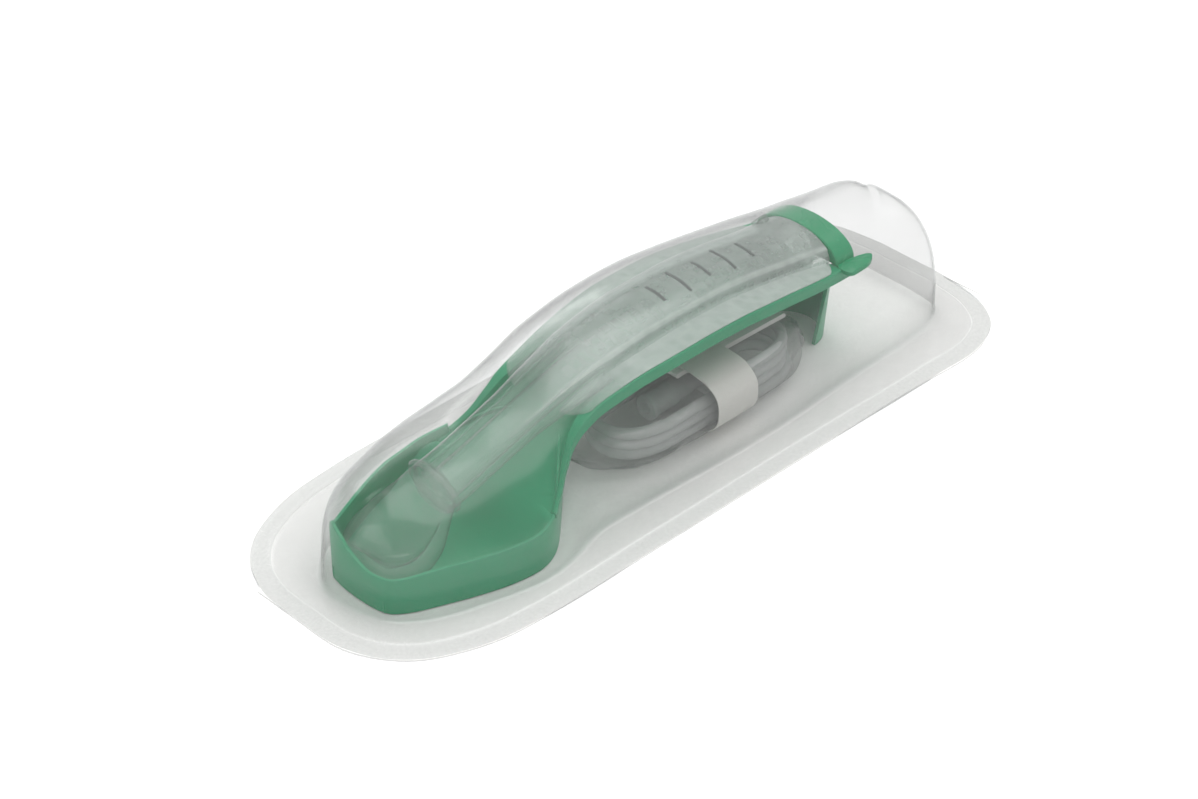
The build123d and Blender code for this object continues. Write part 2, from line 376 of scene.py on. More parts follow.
def linear(colour: str) -> tuple[float, float, float, float]:
    """Linear RGBA of an sRGB hex colour such as #2F9068."""
    parts = [int(colour[i : i + 2], 16) / 255 for i in (1, 3, 5)]
    return (*[p / 12.92 if p <= 0.04045 else ((p + 0.055) / 1.055) ** 2.4 for p in parts], 1.0)


def add_node(tree: bpy.types.NodeTree, kind: str, settings: dict | None = None, **inputs) -> bpy.types.Node:
    """Add a node.

    Args:
        tree: The node tree.
        kind: The node's type.
        settings: Its own properties.
        inputs: Values or sockets by input name, with _ for a space, or i and a number.

    Returns:
        The node.
    """
    node = tree.nodes.new(kind)
    for key, value in (settings or {}).items():
        setattr(node, key, value)
    for key, value in inputs.items():
        name = int(key[1:]) if key[0] == "i" and key[1:].isdigit() else key.replace("_", " ")
        if isinstance(value, bpy.types.NodeSocket):
            tree.links.new(value, node.inputs[name])
        else:
            node.inputs[name].default_value = value
    return node


def new_tree(name: str) -> tuple[bpy.types.Material, bpy.types.NodeTree]:
    """Empty node material and its tree.

    Args:
        name: The material's name.

    Returns:
        The material and its node tree.
    """
    material = bpy.data.materials.new(name)
    material.use_nodes = True
    material.node_tree.nodes.clear()
    return material, material.node_tree


@dataclass(frozen=True)
class ClearPlastic:
    """Clear plastic: what is behind it shows through, darker at a glancing angle where the light
    goes further through the wall, with a little milky haze and a mirror gloss. The gloss is
    Schlick's: ((ior - 1) / (ior + 1))^2 head on, rising to 1 with the fifth power of facing."""

    name: str
    tint: str
    edge_tint: str
    haze_colour: str
    haze: float
    ior: float
    roughness: float
    ripple_mm: float
    ripple: float
    ripple_depth_mm: float = 0.2
    edge_power: float = 2.5
    # Marked areas: a flange's heat seal, and on the gel a painted highlight and painted reflection.
    seal_and_sheen_haze: float = 0.0
    seal_and_sheen_colour: str = "#FFFFFF"
    seal_and_sheen_grid_mm: float = 1.1

    def material(self) -> bpy.types.Material:
        """Build the node material.

        Returns:
            The finished material.
        """
        material, tree = new_tree(self.name)
        place = add_node(tree, "ShaderNodeTexCoord").outputs["Object"]
        noise = add_node(
            tree,
            "ShaderNodeTexNoise",
            Vector=place,
            Scale=1 / (self.ripple_mm * MM),
            Detail=3.0,
            Roughness=0.45,
        )
        bump = add_node(
            tree,
            "ShaderNodeBump",
            Height=noise.outputs["Fac"],
            Strength=self.ripple,
            Distance=self.ripple_depth_mm * MM,
        )
        weight = add_node(tree, "ShaderNodeLayerWeight", Blend=0.5, Normal=bump.outputs["Normal"])
        facing = weight.outputs["Facing"]
        slope = add_node(tree, "ShaderNodeMath", {"operation": "POWER"}, i0=facing, i1=self.edge_power)
        tint = add_node(
            tree,
            "ShaderNodeMix",
            {"data_type": "RGBA"},
            i0=slope.outputs[0],
            i6=linear(self.tint),
            i7=linear(self.edge_tint),
        )
        through_it = add_node(tree, "ShaderNodeBsdfTransparent", Color=tint.outputs[2])
        gloss = add_node(
            tree, "ShaderNodeBsdfGlossy", Roughness=self.roughness, Normal=bump.outputs["Normal"]
        )
        head_on = ((self.ior - 1) / (self.ior + 1)) ** 2
        glance = add_node(tree, "ShaderNodeMath", {"operation": "POWER"}, i0=facing, i1=5.0)
        mirror = add_node(tree, "ShaderNodeMapRange", Value=glance.outputs[0], To_Min=head_on, To_Max=1.0)
        clear = add_node(
            tree,
            "ShaderNodeMixShader",
            i0=mirror.outputs["Result"],
            i1=through_it.outputs["BSDF"],
            i2=gloss.outputs["BSDF"],
        )
        haze_and_sheen = add_node(tree, "ShaderNodeBsdfDiffuse", Color=linear(self.haze_colour))
        share: float | bpy.types.NodeSocket = self.haze
        # Marked areas take more haze in their own colour: the heat seal on a flange, painted highlight and
        # painted reflection on the gel.
        if self.seal_and_sheen_haze:
            seal_and_sheen = add_node(tree, "ShaderNodeAttribute", {"attribute_name": "seal_and_sheen"}).outputs["Fac"]
            share = self.seal_and_sheen_share(tree, place, seal_and_sheen)
            blend = add_node(
                tree,
                "ShaderNodeMix",
                {"data_type": "RGBA"},
                i0=seal_and_sheen,
                i6=linear(self.haze_colour),
                i7=linear(self.seal_and_sheen_colour),
            )
            tree.links.new(blend.outputs[2], haze_and_sheen.inputs["Color"])
        whole = add_node(
            tree, "ShaderNodeMixShader", i0=share, i1=clear.outputs["Shader"], i2=haze_and_sheen.outputs["BSDF"]
        )
        add_node(tree, "ShaderNodeOutputMaterial", Surface=whole.outputs["Shader"])
        return material

    def seal_and_sheen_share(
        self, tree: bpy.types.NodeTree, place: bpy.types.NodeSocket, seal_and_sheen: bpy.types.NodeSocket
    ) -> bpy.types.NodeSocket:
        """Haze share that rises on the marked areas: on a flange where a fine grid of the sealing tool is
        pressed in, and on the gel as a painted highlight and painted reflection with the same grid.

        Args:
            tree: The material's tree.
            place: Object coordinates.
            seal_and_sheen: The mark, from 0 to 1.

        Returns:
            Socket with the share of haze.
        """
        tool = add_node(
            tree,
            "ShaderNodeTexVoronoi",
            {"distance": "CHEBYCHEV"},
            Vector=place,
            Scale=1 / (self.seal_and_sheen_grid_mm * MM),
        )
        worn = add_node(
            tree,
            "ShaderNodeMapRange",
            Value=tool.outputs["Distance"],
            To_Min=0.8 * self.seal_and_sheen_haze,
            To_Max=1.1 * self.seal_and_sheen_haze,
        )
        mixed = add_node(
            tree,
            "ShaderNodeMix",
            {"data_type": "FLOAT"},
            i0=seal_and_sheen,
            i2=self.haze,
            i3=worn.outputs["Result"],
        )
        return mixed.outputs[0]


@dataclass(frozen=True)
class Moulded:
    """Opaque moulded plastic: one colour with faint flow marks, satin, with a fine spark grain."""

    name: str
    colour: str
    flow_colour: str
    roughness: float
    flow_mm: float = 22.0
    grain_mm: float = 0.5
    grain: float = 0.06

    def material(self) -> bpy.types.Material:
        """Build the node material.

        Returns:
            The finished material.
        """
        material, tree = new_tree(self.name)
        place = add_node(tree, "ShaderNodeTexCoord").outputs["Object"]
        flow = add_node(
            tree,
            "ShaderNodeTexNoise",
            Vector=place,
            Scale=1 / (self.flow_mm * MM),
            Detail=2.0,
            Distortion=0.8,
        )
        grain = add_node(tree, "ShaderNodeTexNoise", Vector=place, Scale=1 / (self.grain_mm * MM), Detail=2.0)
        colour = add_node(
            tree,
            "ShaderNodeMix",
            {"data_type": "RGBA"},
            i0=flow.outputs["Fac"],
            i6=linear(self.colour),
            i7=linear(self.flow_colour),
        )
        rough = add_node(
            tree,
            "ShaderNodeMapRange",
            Value=flow.outputs["Fac"],
            To_Min=self.roughness - 0.05,
            To_Max=self.roughness + 0.07,
        )
        bump = add_node(
            tree, "ShaderNodeBump", Height=grain.outputs["Fac"], Strength=self.grain, Distance=0.1 * MM
        )
        skin = add_node(
            tree,
            "ShaderNodeBsdfPrincipled",
            Base_Color=colour.outputs[2],
            Roughness=rough.outputs["Result"],
            Normal=bump.outputs["Normal"],
            IOR=1.49,
        )
        add_node(tree, "ShaderNodeOutputMaterial", Surface=skin.outputs["BSDF"])
        return material


@dataclass(frozen=True)
class FibreSheet:
    """Matt fibre sheet: spun or milled fibres show as faint lighter and darker swirls."""

    name: str
    colour: str
    fibre_colour: str
    fibre_mm: float
    relief: float

    def material(self) -> bpy.types.Material:
        """Build the node material.

        Returns:
            The finished material.
        """
        material, tree = new_tree(self.name)
        place = add_node(tree, "ShaderNodeTexCoord").outputs["Object"]
        swirl = add_node(
            tree,
            "ShaderNodeTexNoise",
            Vector=place,
            Scale=1 / (self.fibre_mm * MM),
            Detail=4.0,
            Distortion=2.5,
        )
        contrast = add_node(
            tree, "ShaderNodeMapRange", Value=swirl.outputs["Fac"], From_Min=0.35, From_Max=0.65
        )
        colour = add_node(
            tree,
            "ShaderNodeMix",
            {"data_type": "RGBA"},
            i0=contrast.outputs["Result"],
            i6=linear(self.colour),
            i7=linear(self.fibre_colour),
        )
        bump = add_node(
            tree, "ShaderNodeBump", Height=swirl.outputs["Fac"], Strength=self.relief, Distance=0.1 * MM
        )
        sheet = add_node(
            tree,
            "ShaderNodeBsdfPrincipled",
            Base_Color=colour.outputs[2],
            Roughness=0.78,
            Normal=bump.outputs["Normal"],
        )
        add_node(tree, "ShaderNodeOutputMaterial", Surface=sheet.outputs["BSDF"])
        return material


@dataclass(frozen=True)
class Webbing:
    """Woven elastic tape: two threads cross, each a wave, and the ribs catch the light."""

    name: str
    colour: str
    gap_colour: str
    thread_mm: float

    def material(self) -> bpy.types.Material:
        """Build the node material.

        Returns:
            The finished material.
        """
        material, tree = new_tree(self.name)
        place = add_node(tree, "ShaderNodeTexCoord").outputs["Object"]
        waves = [
            add_node(
                tree,
                "ShaderNodeTexWave",
                {"bands_direction": direction},
                Vector=place,
                Scale=math.pi / (10 * self.thread_mm * MM),
            ).outputs["Fac"]
            for direction in ("X", "Y")
        ]
        weave = add_node(tree, "ShaderNodeMath", {"operation": "MULTIPLY"}, i0=waves[0], i1=waves[1])
        colour = add_node(
            tree,
            "ShaderNodeMix",
            {"data_type": "RGBA"},
            i0=weave.outputs[0],
            i6=linear(self.gap_colour),
            i7=linear(self.colour),
        )
        bump = add_node(tree, "ShaderNodeBump", Height=weave.outputs[0], Strength=0.5, Distance=0.15 * MM)
        cloth = add_node(
            tree,
            "ShaderNodeBsdfPrincipled",
            Base_Color=colour.outputs[2],
            Roughness=0.85,
            Normal=bump.outputs["Normal"],
            Sheen_Weight=0.3,
        )
        add_node(tree, "ShaderNodeOutputMaterial", Surface=cloth.outputs["BSDF"])
        return material


@dataclass(frozen=True)
class Foil:
    """Aluminium foil laminate: a soft metal mirror broken by fine creases."""

    name: str
    colour: str
    crease_mm: float

    def material(self) -> bpy.types.Material:
        """Build the node material.

        Returns:
            The finished material.
        """
        material, tree = new_tree(self.name)
        place = add_node(tree, "ShaderNodeTexCoord").outputs["Object"]
        crease = add_node(
            tree,
            "ShaderNodeTexVoronoi",
            {"feature": "DISTANCE_TO_EDGE"},
            Vector=place,
            Scale=1 / (self.crease_mm * MM),
        )
        bump = add_node(
            tree, "ShaderNodeBump", Height=crease.outputs["Distance"], Strength=0.35, Distance=0.4 * MM
        )
        rough = add_node(
            tree,
            "ShaderNodeMapRange",
            Value=crease.outputs["Distance"],
            From_Max=0.3,
            To_Min=0.42,
            To_Max=0.28,
        )
        metal = add_node(
            tree,
            "ShaderNodeBsdfPrincipled",
            Base_Color=linear(self.colour),
            Metallic=1.0,
            Roughness=rough.outputs["Result"],
            Normal=bump.outputs["Normal"],
        )
        add_node(tree, "ShaderNodeOutputMaterial", Surface=metal.outputs["BSDF"])
        return material


# PETG sheet, vacuum formed: glass clear with a slow waviness from the stretch over the mould.
FORMED_PETG = ClearPlastic(
    "vacuum_formed_petg",
    tint="#F7F7F7",
    edge_tint="#8F9695",
    haze_colour="#E4E6E5",
    haze=0.014,
    ior=1.46,
    roughness=0.2,
    ripple_mm=24.0,
    ripple=0.12,
    ripple_depth_mm=0.4,
    edge_power=7.0,
    seal_and_sheen_haze=0.3,
    seal_and_sheen_colour="#C6C8C7",
)
# Styrene thermoplastic elastomer, injection moulded: soft, oily clear with a milky body.
GEL_TPE = ClearPlastic(
    "soft_tpe_gel",
    tint="#F5F9F7",
    edge_tint="#A5B5AD",
    haze_colour="#F0F6F3",
    haze=0.045,
    ior=1.47,
    roughness=0.1,
    ripple_mm=14.0,
    ripple=0.08,
    ripple_depth_mm=0.3,
    edge_power=3.5,
    # Marked areas whiten: painted highlight on the stem and painted reflection on its edges.
    seal_and_sheen_haze=0.52,
    seal_and_sheen_colour="#E9F0EC",
    seal_and_sheen_grid_mm=4.0,
)
# Polycarbonate, injection moulded: hard, water clear and mirror smooth.
RIGID_PC = ClearPlastic(
    "moulded_polycarbonate",
    tint="#F1F4F2",
    edge_tint="#A7B3AD",
    haze_colour="#DDE5E0",
    haze=0.05,
    ior=1.58,
    roughness=0.04,
    ripple_mm=30.0,
    ripple=0.02,
)
# Plasticised PVC tube, extruded: clear with a grey body and a wet gloss.
PVC_TUBE = ClearPlastic(
    "extruded_pvc_tube",
    tint="#EEF1F0",
    edge_tint="#8D9492",
    haze_colour="#F4F6F5",
    haze=0.42,
    ior=1.54,
    roughness=0.1,
    ripple_mm=5.0,
    ripple=0.1,
)
# Polyethylene film, blown: thin and crinkled, so that it breaks the light into small flashes.
PE_FILM = ClearPlastic(
    "blown_pe_film",
    tint="#EDEEED",
    edge_tint="#9A9E9C",
    haze_colour="#E6E7E6",
    haze=0.05,
    ior=1.51,
    roughness=0.1,
    ripple_mm=8.0,
    ripple=0.8,
    ripple_depth_mm=1.6,
)
# High impact polystyrene, thermoformed green sheet: satin with a faint stretch mottling.
GREEN_HIPS = Moulded(
    "thermoformed_green_hips",
    colour="#148C5E",
    flow_colour="#1E996A",
    roughness=0.34,
)
# Polypropylene, injection moulded green: darker and glossier than the cradle.
GREEN_PP = Moulded(
    "moulded_green_pp",
    colour="#0C8E5C",
    flow_colour="#149B67",
    roughness=0.26,
    grain=0.04,
)
# Flash-spun polyethylene, a medical lid sheet: white, matt, with swirled fibres.
SPUN_LID = FibreSheet(
    "spun_polyethylene_lid",
    colour="#ECECEA",
    fibre_colour="#F3F3F1",
    fibre_mm=2.2,
    relief=0.2,
)
# Bleached kraft paper: off-white, matt, soft fibres.
KRAFT_BAND = FibreSheet(
    "bleached_kraft_paper",
    colour="#C4C4BE",
    fibre_colour="#CFCFCA",
    fibre_mm=0.9,
    relief=0.35,
)
# Woven polyester elastic: white ribs.
ELASTIC_TAPE = Webbing(
    "woven_elastic_tape",
    colour="#F0F0EE",
    gap_colour="#C8C8C4",
    thread_mm=0.9,
)
# Aluminium and polyethylene laminate: pressed flat, crinkled by handling.
SACHET_FOIL = Foil(
    "aluminium_laminate_foil",
    colour="#C9CBCC",
    crease_mm=4.5,
)
# Pad-printed ink: flat dark grey.
MARK_INK = Moulded(
    "pad_printed_ink",
    colour="#5A605D",
    flow_colour="#646A67",
    roughness=0.5,
)


# ---------------------------------------------------------------- the pack


@dataclass
class Blister:
    """Clear formed shell: dome, filleted foot and heat-sealed flange, in one sheet."""

    flange_top: float = 0.95
    wall: float = 0.5
    fillet: float = 2.0
    seal_width: float = 6.9
    seal_step: float = 0.35
    left_cap: float = 19.0
    right_cap: float = 13.0
    columns: int = 260
    flange_edge: tuple = (
        (-145, 0), (-144.2, 18), (-138.8, 31), (-130, 40.3), (-119, 46.2), (-106, 50.2), (-91, 52),
        (-40, 52.8), (40, 53.4), (95, 54.2), (121, 53.2), (132.5, 48), (141, 36), (144.7, 18), (145, 0),
    )
    foot: tuple = (
        (-130.4, 0), (-129.2, 11.5), (-126, 19.5), (-120, 26), (-112, 30.6), (-99, 35), (-87, 38.3),
        (-75, 39.8), (-65, 38.6), (-50, 34.6), (-30, 34.6), (12, 36.4), (35, 36.6), (76, 34.6),
        (108, 33.6), (120, 31.6), (126, 26.5), (127.6, 18), (128, 0),
    )
    crest: tuple = (
        (-130, 34.1), (-110, 36.5), (-90, 38.3), (-77, 38.4), (-61, 42), (-48, 49), (-31, 54.9), (-12, 56.9),
        (10, 56.1), (27, 54.3), (46, 52.2), (65, 50.4), (86, 47.3), (108, 44.4), (128, 43.4),
    )
    front_roundness: tuple = ((-70, 2.25), (-30, 2.5), (105, 2.5), (120, 2.75))
    back_roundness: tuple = ((-70, 2.75), (0, 2.8), (86, 1.95), (120, 1.8))

    def foot_line(self) -> Grid:
        """Outline of the dome's foot, drawn in at the back to lie evenly about the cradle's line.

        Returns:
            (columns, 2) array.
        """
        foot = all_round(plan_half(self.foot, self.columns // 2 + 1))
        foot[:, 1] += np.where(foot[:, 1] > 0, 2, 0) * centre_y(foot[:, 0]) * np.minimum(foot[:, 1] / 20, 1)
        return foot

    def dome(self) -> Grid:
        """Rows from the crest line to the foot: at angle a from the foot a point lies cos(a)^(2/p)
        of the way out from the crest line and sin(a)^(2/p) of the way up.

        Returns:
            Grid of rows by columns.
        """
        foot = self.foot_line()
        spine_x = np.clip(foot[:, 0], foot[:, 0].min() + self.left_cap, foot[:, 0].max() - self.right_cap)
        spine = np.stack([spine_x, centre_y(spine_x)], 1)
        sides = [through(pairs, foot[:, 0]) for pairs in (self.front_roundness, self.back_roundness)]
        power = np.where(foot[:, 1] < spine[:, 1], *sides)
        angle = np.linspace(math.pi / 2, 0, 44)[:, None]
        out = np.abs(np.cos(angle)) ** (2 / power)
        out[0] = 0
        rise = np.sin(angle) ** (2 / power)
        plan = spine + (foot - spine) * out[..., None]
        start = self.flange_top + self.fillet
        top = self.flange_top - 0.4 + through(self.crest, plan[..., 0])
        return np.concatenate([plan, (start + (top - start) * rise)[..., None]], 2)

    def foot_and_flange(self) -> tuple[Grid, Grid]:
        """Rows from the foot's quarter-round to the flange's edge, and how far each is in the seal.

        Returns:
            The grid, and the mark at each point.
        """
        foot = self.foot_line()
        edge = all_round(plan_half(self.flange_edge, self.columns // 2 + 1))
        away = outward(foot)
        turn = np.linspace(math.pi / 2, 0, 7)[1:, None, None]
        level = self.flange_top
        round_plan = foot + away * self.fillet * (1 - np.sin(turn))
        round_z = np.broadcast_to(level + self.fillet * (1 - np.cos(turn)), round_plan[..., :1].shape)
        seal_line = edge - outward(edge) * self.seal_width
        start = round_plan[-1]
        flat = [start + (seal_line - start) * share for share in (0.3, 0.6, 0.93, 1.0)]
        flat += [seal_line + (edge - seal_line) * share for share in (0.08, 0.35, 0.65, 0.94, 1.0)]
        drop = self.seal_step
        heights = (0, 0, 0, 0, -drop, -drop, -drop, -drop, -drop - 0.12)
        flat_z = level + np.array(heights)[:, None, None] * np.ones((1, len(foot), 1))
        rows = np.concatenate([round_plan, np.stack(flat)])
        marks = np.array([0.0] * len(turn) + [0, 0, 0, 0, 1, 1, 1, 1, 1])
        mark = np.broadcast_to(marks[:, None], rows.shape[:2])
        return np.concatenate([rows, np.concatenate([round_z, flat_z])], 2), mark

    def build(self) -> None:
        """Make the shell with both its faces and dress it."""
        dome = self.dome()
        low, low_mark = self.foot_and_flange()
        outer = np.concatenate([dome, low])
        normal = grid_normals(outer)
        normal[0] = (0, 0, 1)
        if normal[len(dome) // 2, :, 2].mean() < 0:
            normal = -normal
        inner = outer - normal * self.wall
        inner[0] = outer[0] - (0, 0, self.wall)
        mark = np.concatenate([np.zeros(dome.shape[:2]), low_mark])
        skin = Skin("clear_blister_shell")
        skin.add(np.concatenate([outer, inner[::-1]]), Ends.OPEN, mark=np.concatenate([mark, mark[::-1]]))
        dress(skin.build(), FORMED_PETG.material(), Body.BLISTER, Slot.DOME, "blister_shell")


# ---------------------------------------------------------------- the cradle


@dataclass
class Cradle:
    """Green moulding: a tub for the cuff, a ramp, a bowed trough with turned-down edges, an end wall."""

    wall: float = 1.3
    foot_z: float = 0.8
    skirt: float = 4.3
    arch_start: float = -66.0
    arch_end: float = 90.0
    outline: tuple = (
        (-125.5, 11.8), (-119.5, 17.5), (-109, 22), (-98, 26.4), (-88, 29.6), (-77, 31.6), (-70, 30.6),
        (-64, 27.5), (-58, 22.5), (-50, 15), (-43, 8.5), (-41, 4),
    )
    front_rim: tuple = (
        (-122, 14.1), (-106, 15.4), (-80, 15.2), (-66, 15.9), (-60, 20.5), (-54, 29), (-50, 34.6),
    )
    back_rim: tuple = (
        (-122, 19.3), (-116, 17.2), (-90, 17.2), (-78, 16.6), (-70, 18.2), (-64, 20.5), (-58, 25.5),
        (-50, 34.6),
    )
    level: tuple = (
        (-66, 16.4), (-60, 20.8), (-54, 27.4), (-50, 32.2), (-45, 36.2), (-35, 39.7), (-15, 43.0), (5, 44.2),
        (25, 43.5), (45, 41.0), (75, 35.7), (90, 33.3),
    )
    edge: tuple = (
        (-66, 28.9), (-60, 25.4), (-54, 22.0), (-48, 20.3), (-40, 20.2), (-25, 21.6), (5, 24.3), (30, 24.5),
        (60, 23.2), (78, 21.6), (90, 20.2),
    )
    trough_half: tuple = (
        (-66, 27.0), (-60, 23.2), (-54, 19.4), (-48, 16.9), (-40, 15.6), (-30, 15.4), (90, 15.4),
    )
    trough_floor: tuple = (
        (-66, 15.0), (-60, 18.8), (-54, 22.6), (-45, 27.0), (-35, 29.7), (-15, 31.8), (5, 32.5), (25, 31.7),
        (45, 29.1), (75, 23.9), (90, 21.5),
    )
    trough_power: tuple = ((-66, 4.0), (-45, 2.1))
    skirt_line: tuple = ((-66, 1.6), (-58, 3.4), (-48, 4.3))
    ramp: tuple = ((-124, 2.1), (-88, 2.1), (-82, 3.4), (-66, 15.0), (-60, 18.8))
    floor_start: float = -124.3
    floor_end: float = -61.5
    floor_round: float = 3.2
    end_foot_x: float = 78.0
    end_foot_radius: float = 13.0
    end_head_x: float = 74.0
    end_head_along: float = 15.0
    end_head_across: float = 19.0
    end_head_turn_deg: float = 74.5

    def underside(self, x: Grid, across: Grid) -> Grid:
        """Height of the lower face of the trough and strips, across from the centre line.

        Args:
            x: Stations.
            across: Distances from the centre line.

        Returns:
            The heights.
        """
        level = through(self.level, x)
        half = through(self.trough_half, x)
        share = np.clip(np.abs(across) / half, 0, 1)
        depth = level - through(self.trough_floor, x)
        return level - depth * np.sqrt(1 - share**2) - self.wall

    def rim(self, x: Grid, across: Grid) -> Grid:
        """Height of the tub's rim, a little higher at the back than at the front.

        Args:
            x: Stations.
            across: Distances from the centre line.

        Returns:
            The heights.
        """
        back = np.clip(across / 16 + 0.5, 0, 1)
        back = back**2 * (3 - 2 * back)
        return through(self.front_rim, x) * (1 - back) + through(self.back_rim, x) * back

    def tub_wall(self) -> Grid:
        """Wall round the tub: the outline's loop carried up one face, over the rim and down inside.

        Returns:
            Grid of loops round the tub.
        """
        half = np.array(self.outline)
        middle = centre_y(half[:, 0])
        front = np.stack([half[:, 0], middle - half[:, 1]], 1)
        back = np.stack([half[:, 0], middle + half[:, 1]], 1)[::-1]
        line = rounded_outline(np.concatenate([front, back]), 320)
        away = outward(line)
        x, y = line.T
        rise = np.clip((-122.4 - x) / 2.0, 0, 1) * np.clip((y + 1.6) / 1.6, 0, 1)
        top = self.rim(x, y - centre_y(x)) + (0.8 + 0.45 * y) * rise**2 * (3 - 2 * rise)
        under = self.underside(x, y - centre_y(x)) + 0.2
        top = np.where(x > -62, np.minimum(top, under), top)
        profile = [
            (0.0, 0.0, 0.0), (0.0, 0.3, 0.0), (0.0, 0.65, 0.0), (0.0, 1.0, -0.7), (0.12, 1.0, -0.2),
            (0.42, 1.0, 0.0), (0.9, 1.0, 0.0), (1.2, 1.0, -0.2), (self.wall, 1.0, -0.7),
            (self.wall, 0.65, 0.0), (self.wall, 0.3, 0.0), (self.wall, 0.0, 0.0),
        ]
        rows = []
        for inset, share, lower in profile:
            plan = line - away * inset
            height = self.foot_z + (top - self.foot_z) * share + lower
            rows.append(np.concatenate([plan, height[:, None]], 1))
        return np.stack(rows)

    def slab(self, x: Grid, upper: tuple[Grid, Grid], lower: tuple[Grid, Grid]) -> Grid:
        """Loops across X that run along an upper line and back along a lower one.

        Args:
            x: Stations.
            upper: Offsets across and heights of the upper line, station by point.
            lower: The same for the lower line, in the same order.

        Returns:
            Grid of stations by loop points.
        """
        across = np.concatenate([upper[0], lower[0][:, ::-1]], 1) + centre_y(x)[:, None]
        height = np.concatenate([upper[1], lower[1][:, ::-1]], 1)
        return np.stack([np.broadcast_to(x[:, None], across.shape), across, height], 2)

    def tub_floor(self) -> Grid:
        """Floor of the tub and the foot of the ramp, turned up in a round at the walls.

        Returns:
            Grid of stations by loop points.
        """
        x = np.linspace(self.floor_start, self.floor_end, 60)
        corners = np.array(self.outline)
        half = np.maximum(np.interp(x, corners[:, 0], corners[:, 1]) - 0.8, 2.0)
        share = np.linspace(-1, 1, 33)
        level = through(self.ramp, x)[:, None]
        round_up = self.floor_round * np.abs(share) ** 9
        across = half[:, None] * share
        upper = np.minimum(level + round_up, through(self.front_rim, x)[:, None] - 0.4)
        lower = np.maximum(level - self.wall, self.foot_z) + 0 * across
        return self.slab(x, (across, upper), (across, np.minimum(lower, upper - 0.5)))

    def arch(self) -> Grid:
        """Trough between two flat strips with their outer edges turned down, along the bow.

        Returns:
            Grid of stations by loop points.
        """
        x = np.concatenate([np.linspace(self.arch_start, -42, 44)[:-1], np.linspace(-42, self.arch_end, 100)])
        level, edge, half, floor, power, skirt = (
            through(line, x)[:, None]
            for line in (
                self.level, self.edge, self.trough_half, self.trough_floor, self.trough_power,
                self.skirt_line,
            )
        )
        half = np.minimum(half, edge - 1.5)
        depth = level - floor
        bend = np.linspace(0, math.pi / 2, 18)
        cosine, sine = np.cos(bend) ** (2 / power), np.sin(bend) ** (2 / power)
        cosine[:, -1] = 0
        ones = np.ones_like(level)
        width = edge - half
        strip = [edge - 0.5, edge - 0.3 * width, half + 0.45 * width, half + 0.5, half + 0.15]
        across = [edge, edge, edge, edge - 0.15, *strip]
        height = [-skirt, -0.5 * skirt, -0.55 * ones, -0.15 * ones] + [0 * ones] * 4 + [-0.14 * ones]
        across_half = np.concatenate(across + [half * cosine[:, 1:]], 1)
        height_half = np.concatenate(height + [-depth * sine[:, 1:]], 1)
        thick = self.wall
        inner = edge - thick
        strip = [edge - 0.3 * width, half + 0.4 * width, half + 0.6, half + 0.4]
        under = [inner, inner, inner, inner - 0.1, inner - 0.3, *strip]
        under = [np.minimum(value, inner) for value in under]
        under_z = [-skirt, -0.5 * skirt, -thick - 0.3, -thick - 0.1] + [-thick * ones] * 5
        under_across = np.concatenate(under + [np.minimum((half + thick * 0.8) * cosine[:, 1:], inner)], 1)
        under_height = np.concatenate(
            [np.broadcast_to(value, ones.shape) for value in under_z] + [-depth * sine[:, 1:] - thick], 1
        )
        upper = [self.both_sides(across_half, -1), self.both_sides(height_half, 1) + level]
        lower = [self.both_sides(under_across, -1), self.both_sides(under_height, 1) + level]
        return self.slab(x, tuple(upper), tuple(lower))

    @staticmethod
    def both_sides(half: Grid, sign: int) -> Grid:
        """Whole line from the half that runs from the outer edge to the middle."""
        return np.concatenate([sign * half, half[:, -2::-1]], 1)

    def end_wall(self) -> Grid:
        """Half-round wall under the connector end, from a round foot to a wider oval top.

        Returns:
            Grid of stations along the wall by loop points.
        """
        share = np.linspace(-1, 1, 61)
        low, high = share * math.pi / 2, share * math.radians(self.end_head_turn_deg)
        rows = []
        for inset in (0.0, self.wall):
            radius = self.end_foot_radius - inset
            along, wide = self.end_head_along - inset, self.end_head_across - inset
            foot = [self.end_foot_x + radius * np.cos(low), radius * np.sin(low)]
            head = [self.end_head_x + along * np.cos(high), wide * np.sin(high)]
            under = self.underside(head[0], head[1]) + 0.4
            outside = np.abs(head[1]) > through(self.trough_half, head[0])
            top = np.where(outside, through(self.level, head[0]) - self.skirt + 0.4, under)
            lines = []
            for part in np.linspace(0, 1, 9):
                x = foot[0] + (head[0] - foot[0]) * part
                y = foot[1] + (head[1] - foot[1]) * part
                z = self.foot_z + (top - self.foot_z) * part
                lines.append(np.stack([x, y + centre_y(x), z], 1))
            rows += lines if inset == 0 else lines[::-1]
        return np.stack(rows, 1)

    def build(self) -> None:
        """Make the moulding and dress it."""
        skin = Skin("green_cradle")
        skin.add(self.tub_wall(), Ends.LOOP)
        skin.add(self.tub_floor(), Ends.PINCH)
        skin.add(self.arch(), Ends.PINCH)
        skin.add(self.end_wall(), Ends.PINCH)
        dress(skin.build(), GREEN_HIPS.material(), Body.CRADLE, Slot.CRADLE, "cradle")


# ---------------------------------------------------------------- the airway


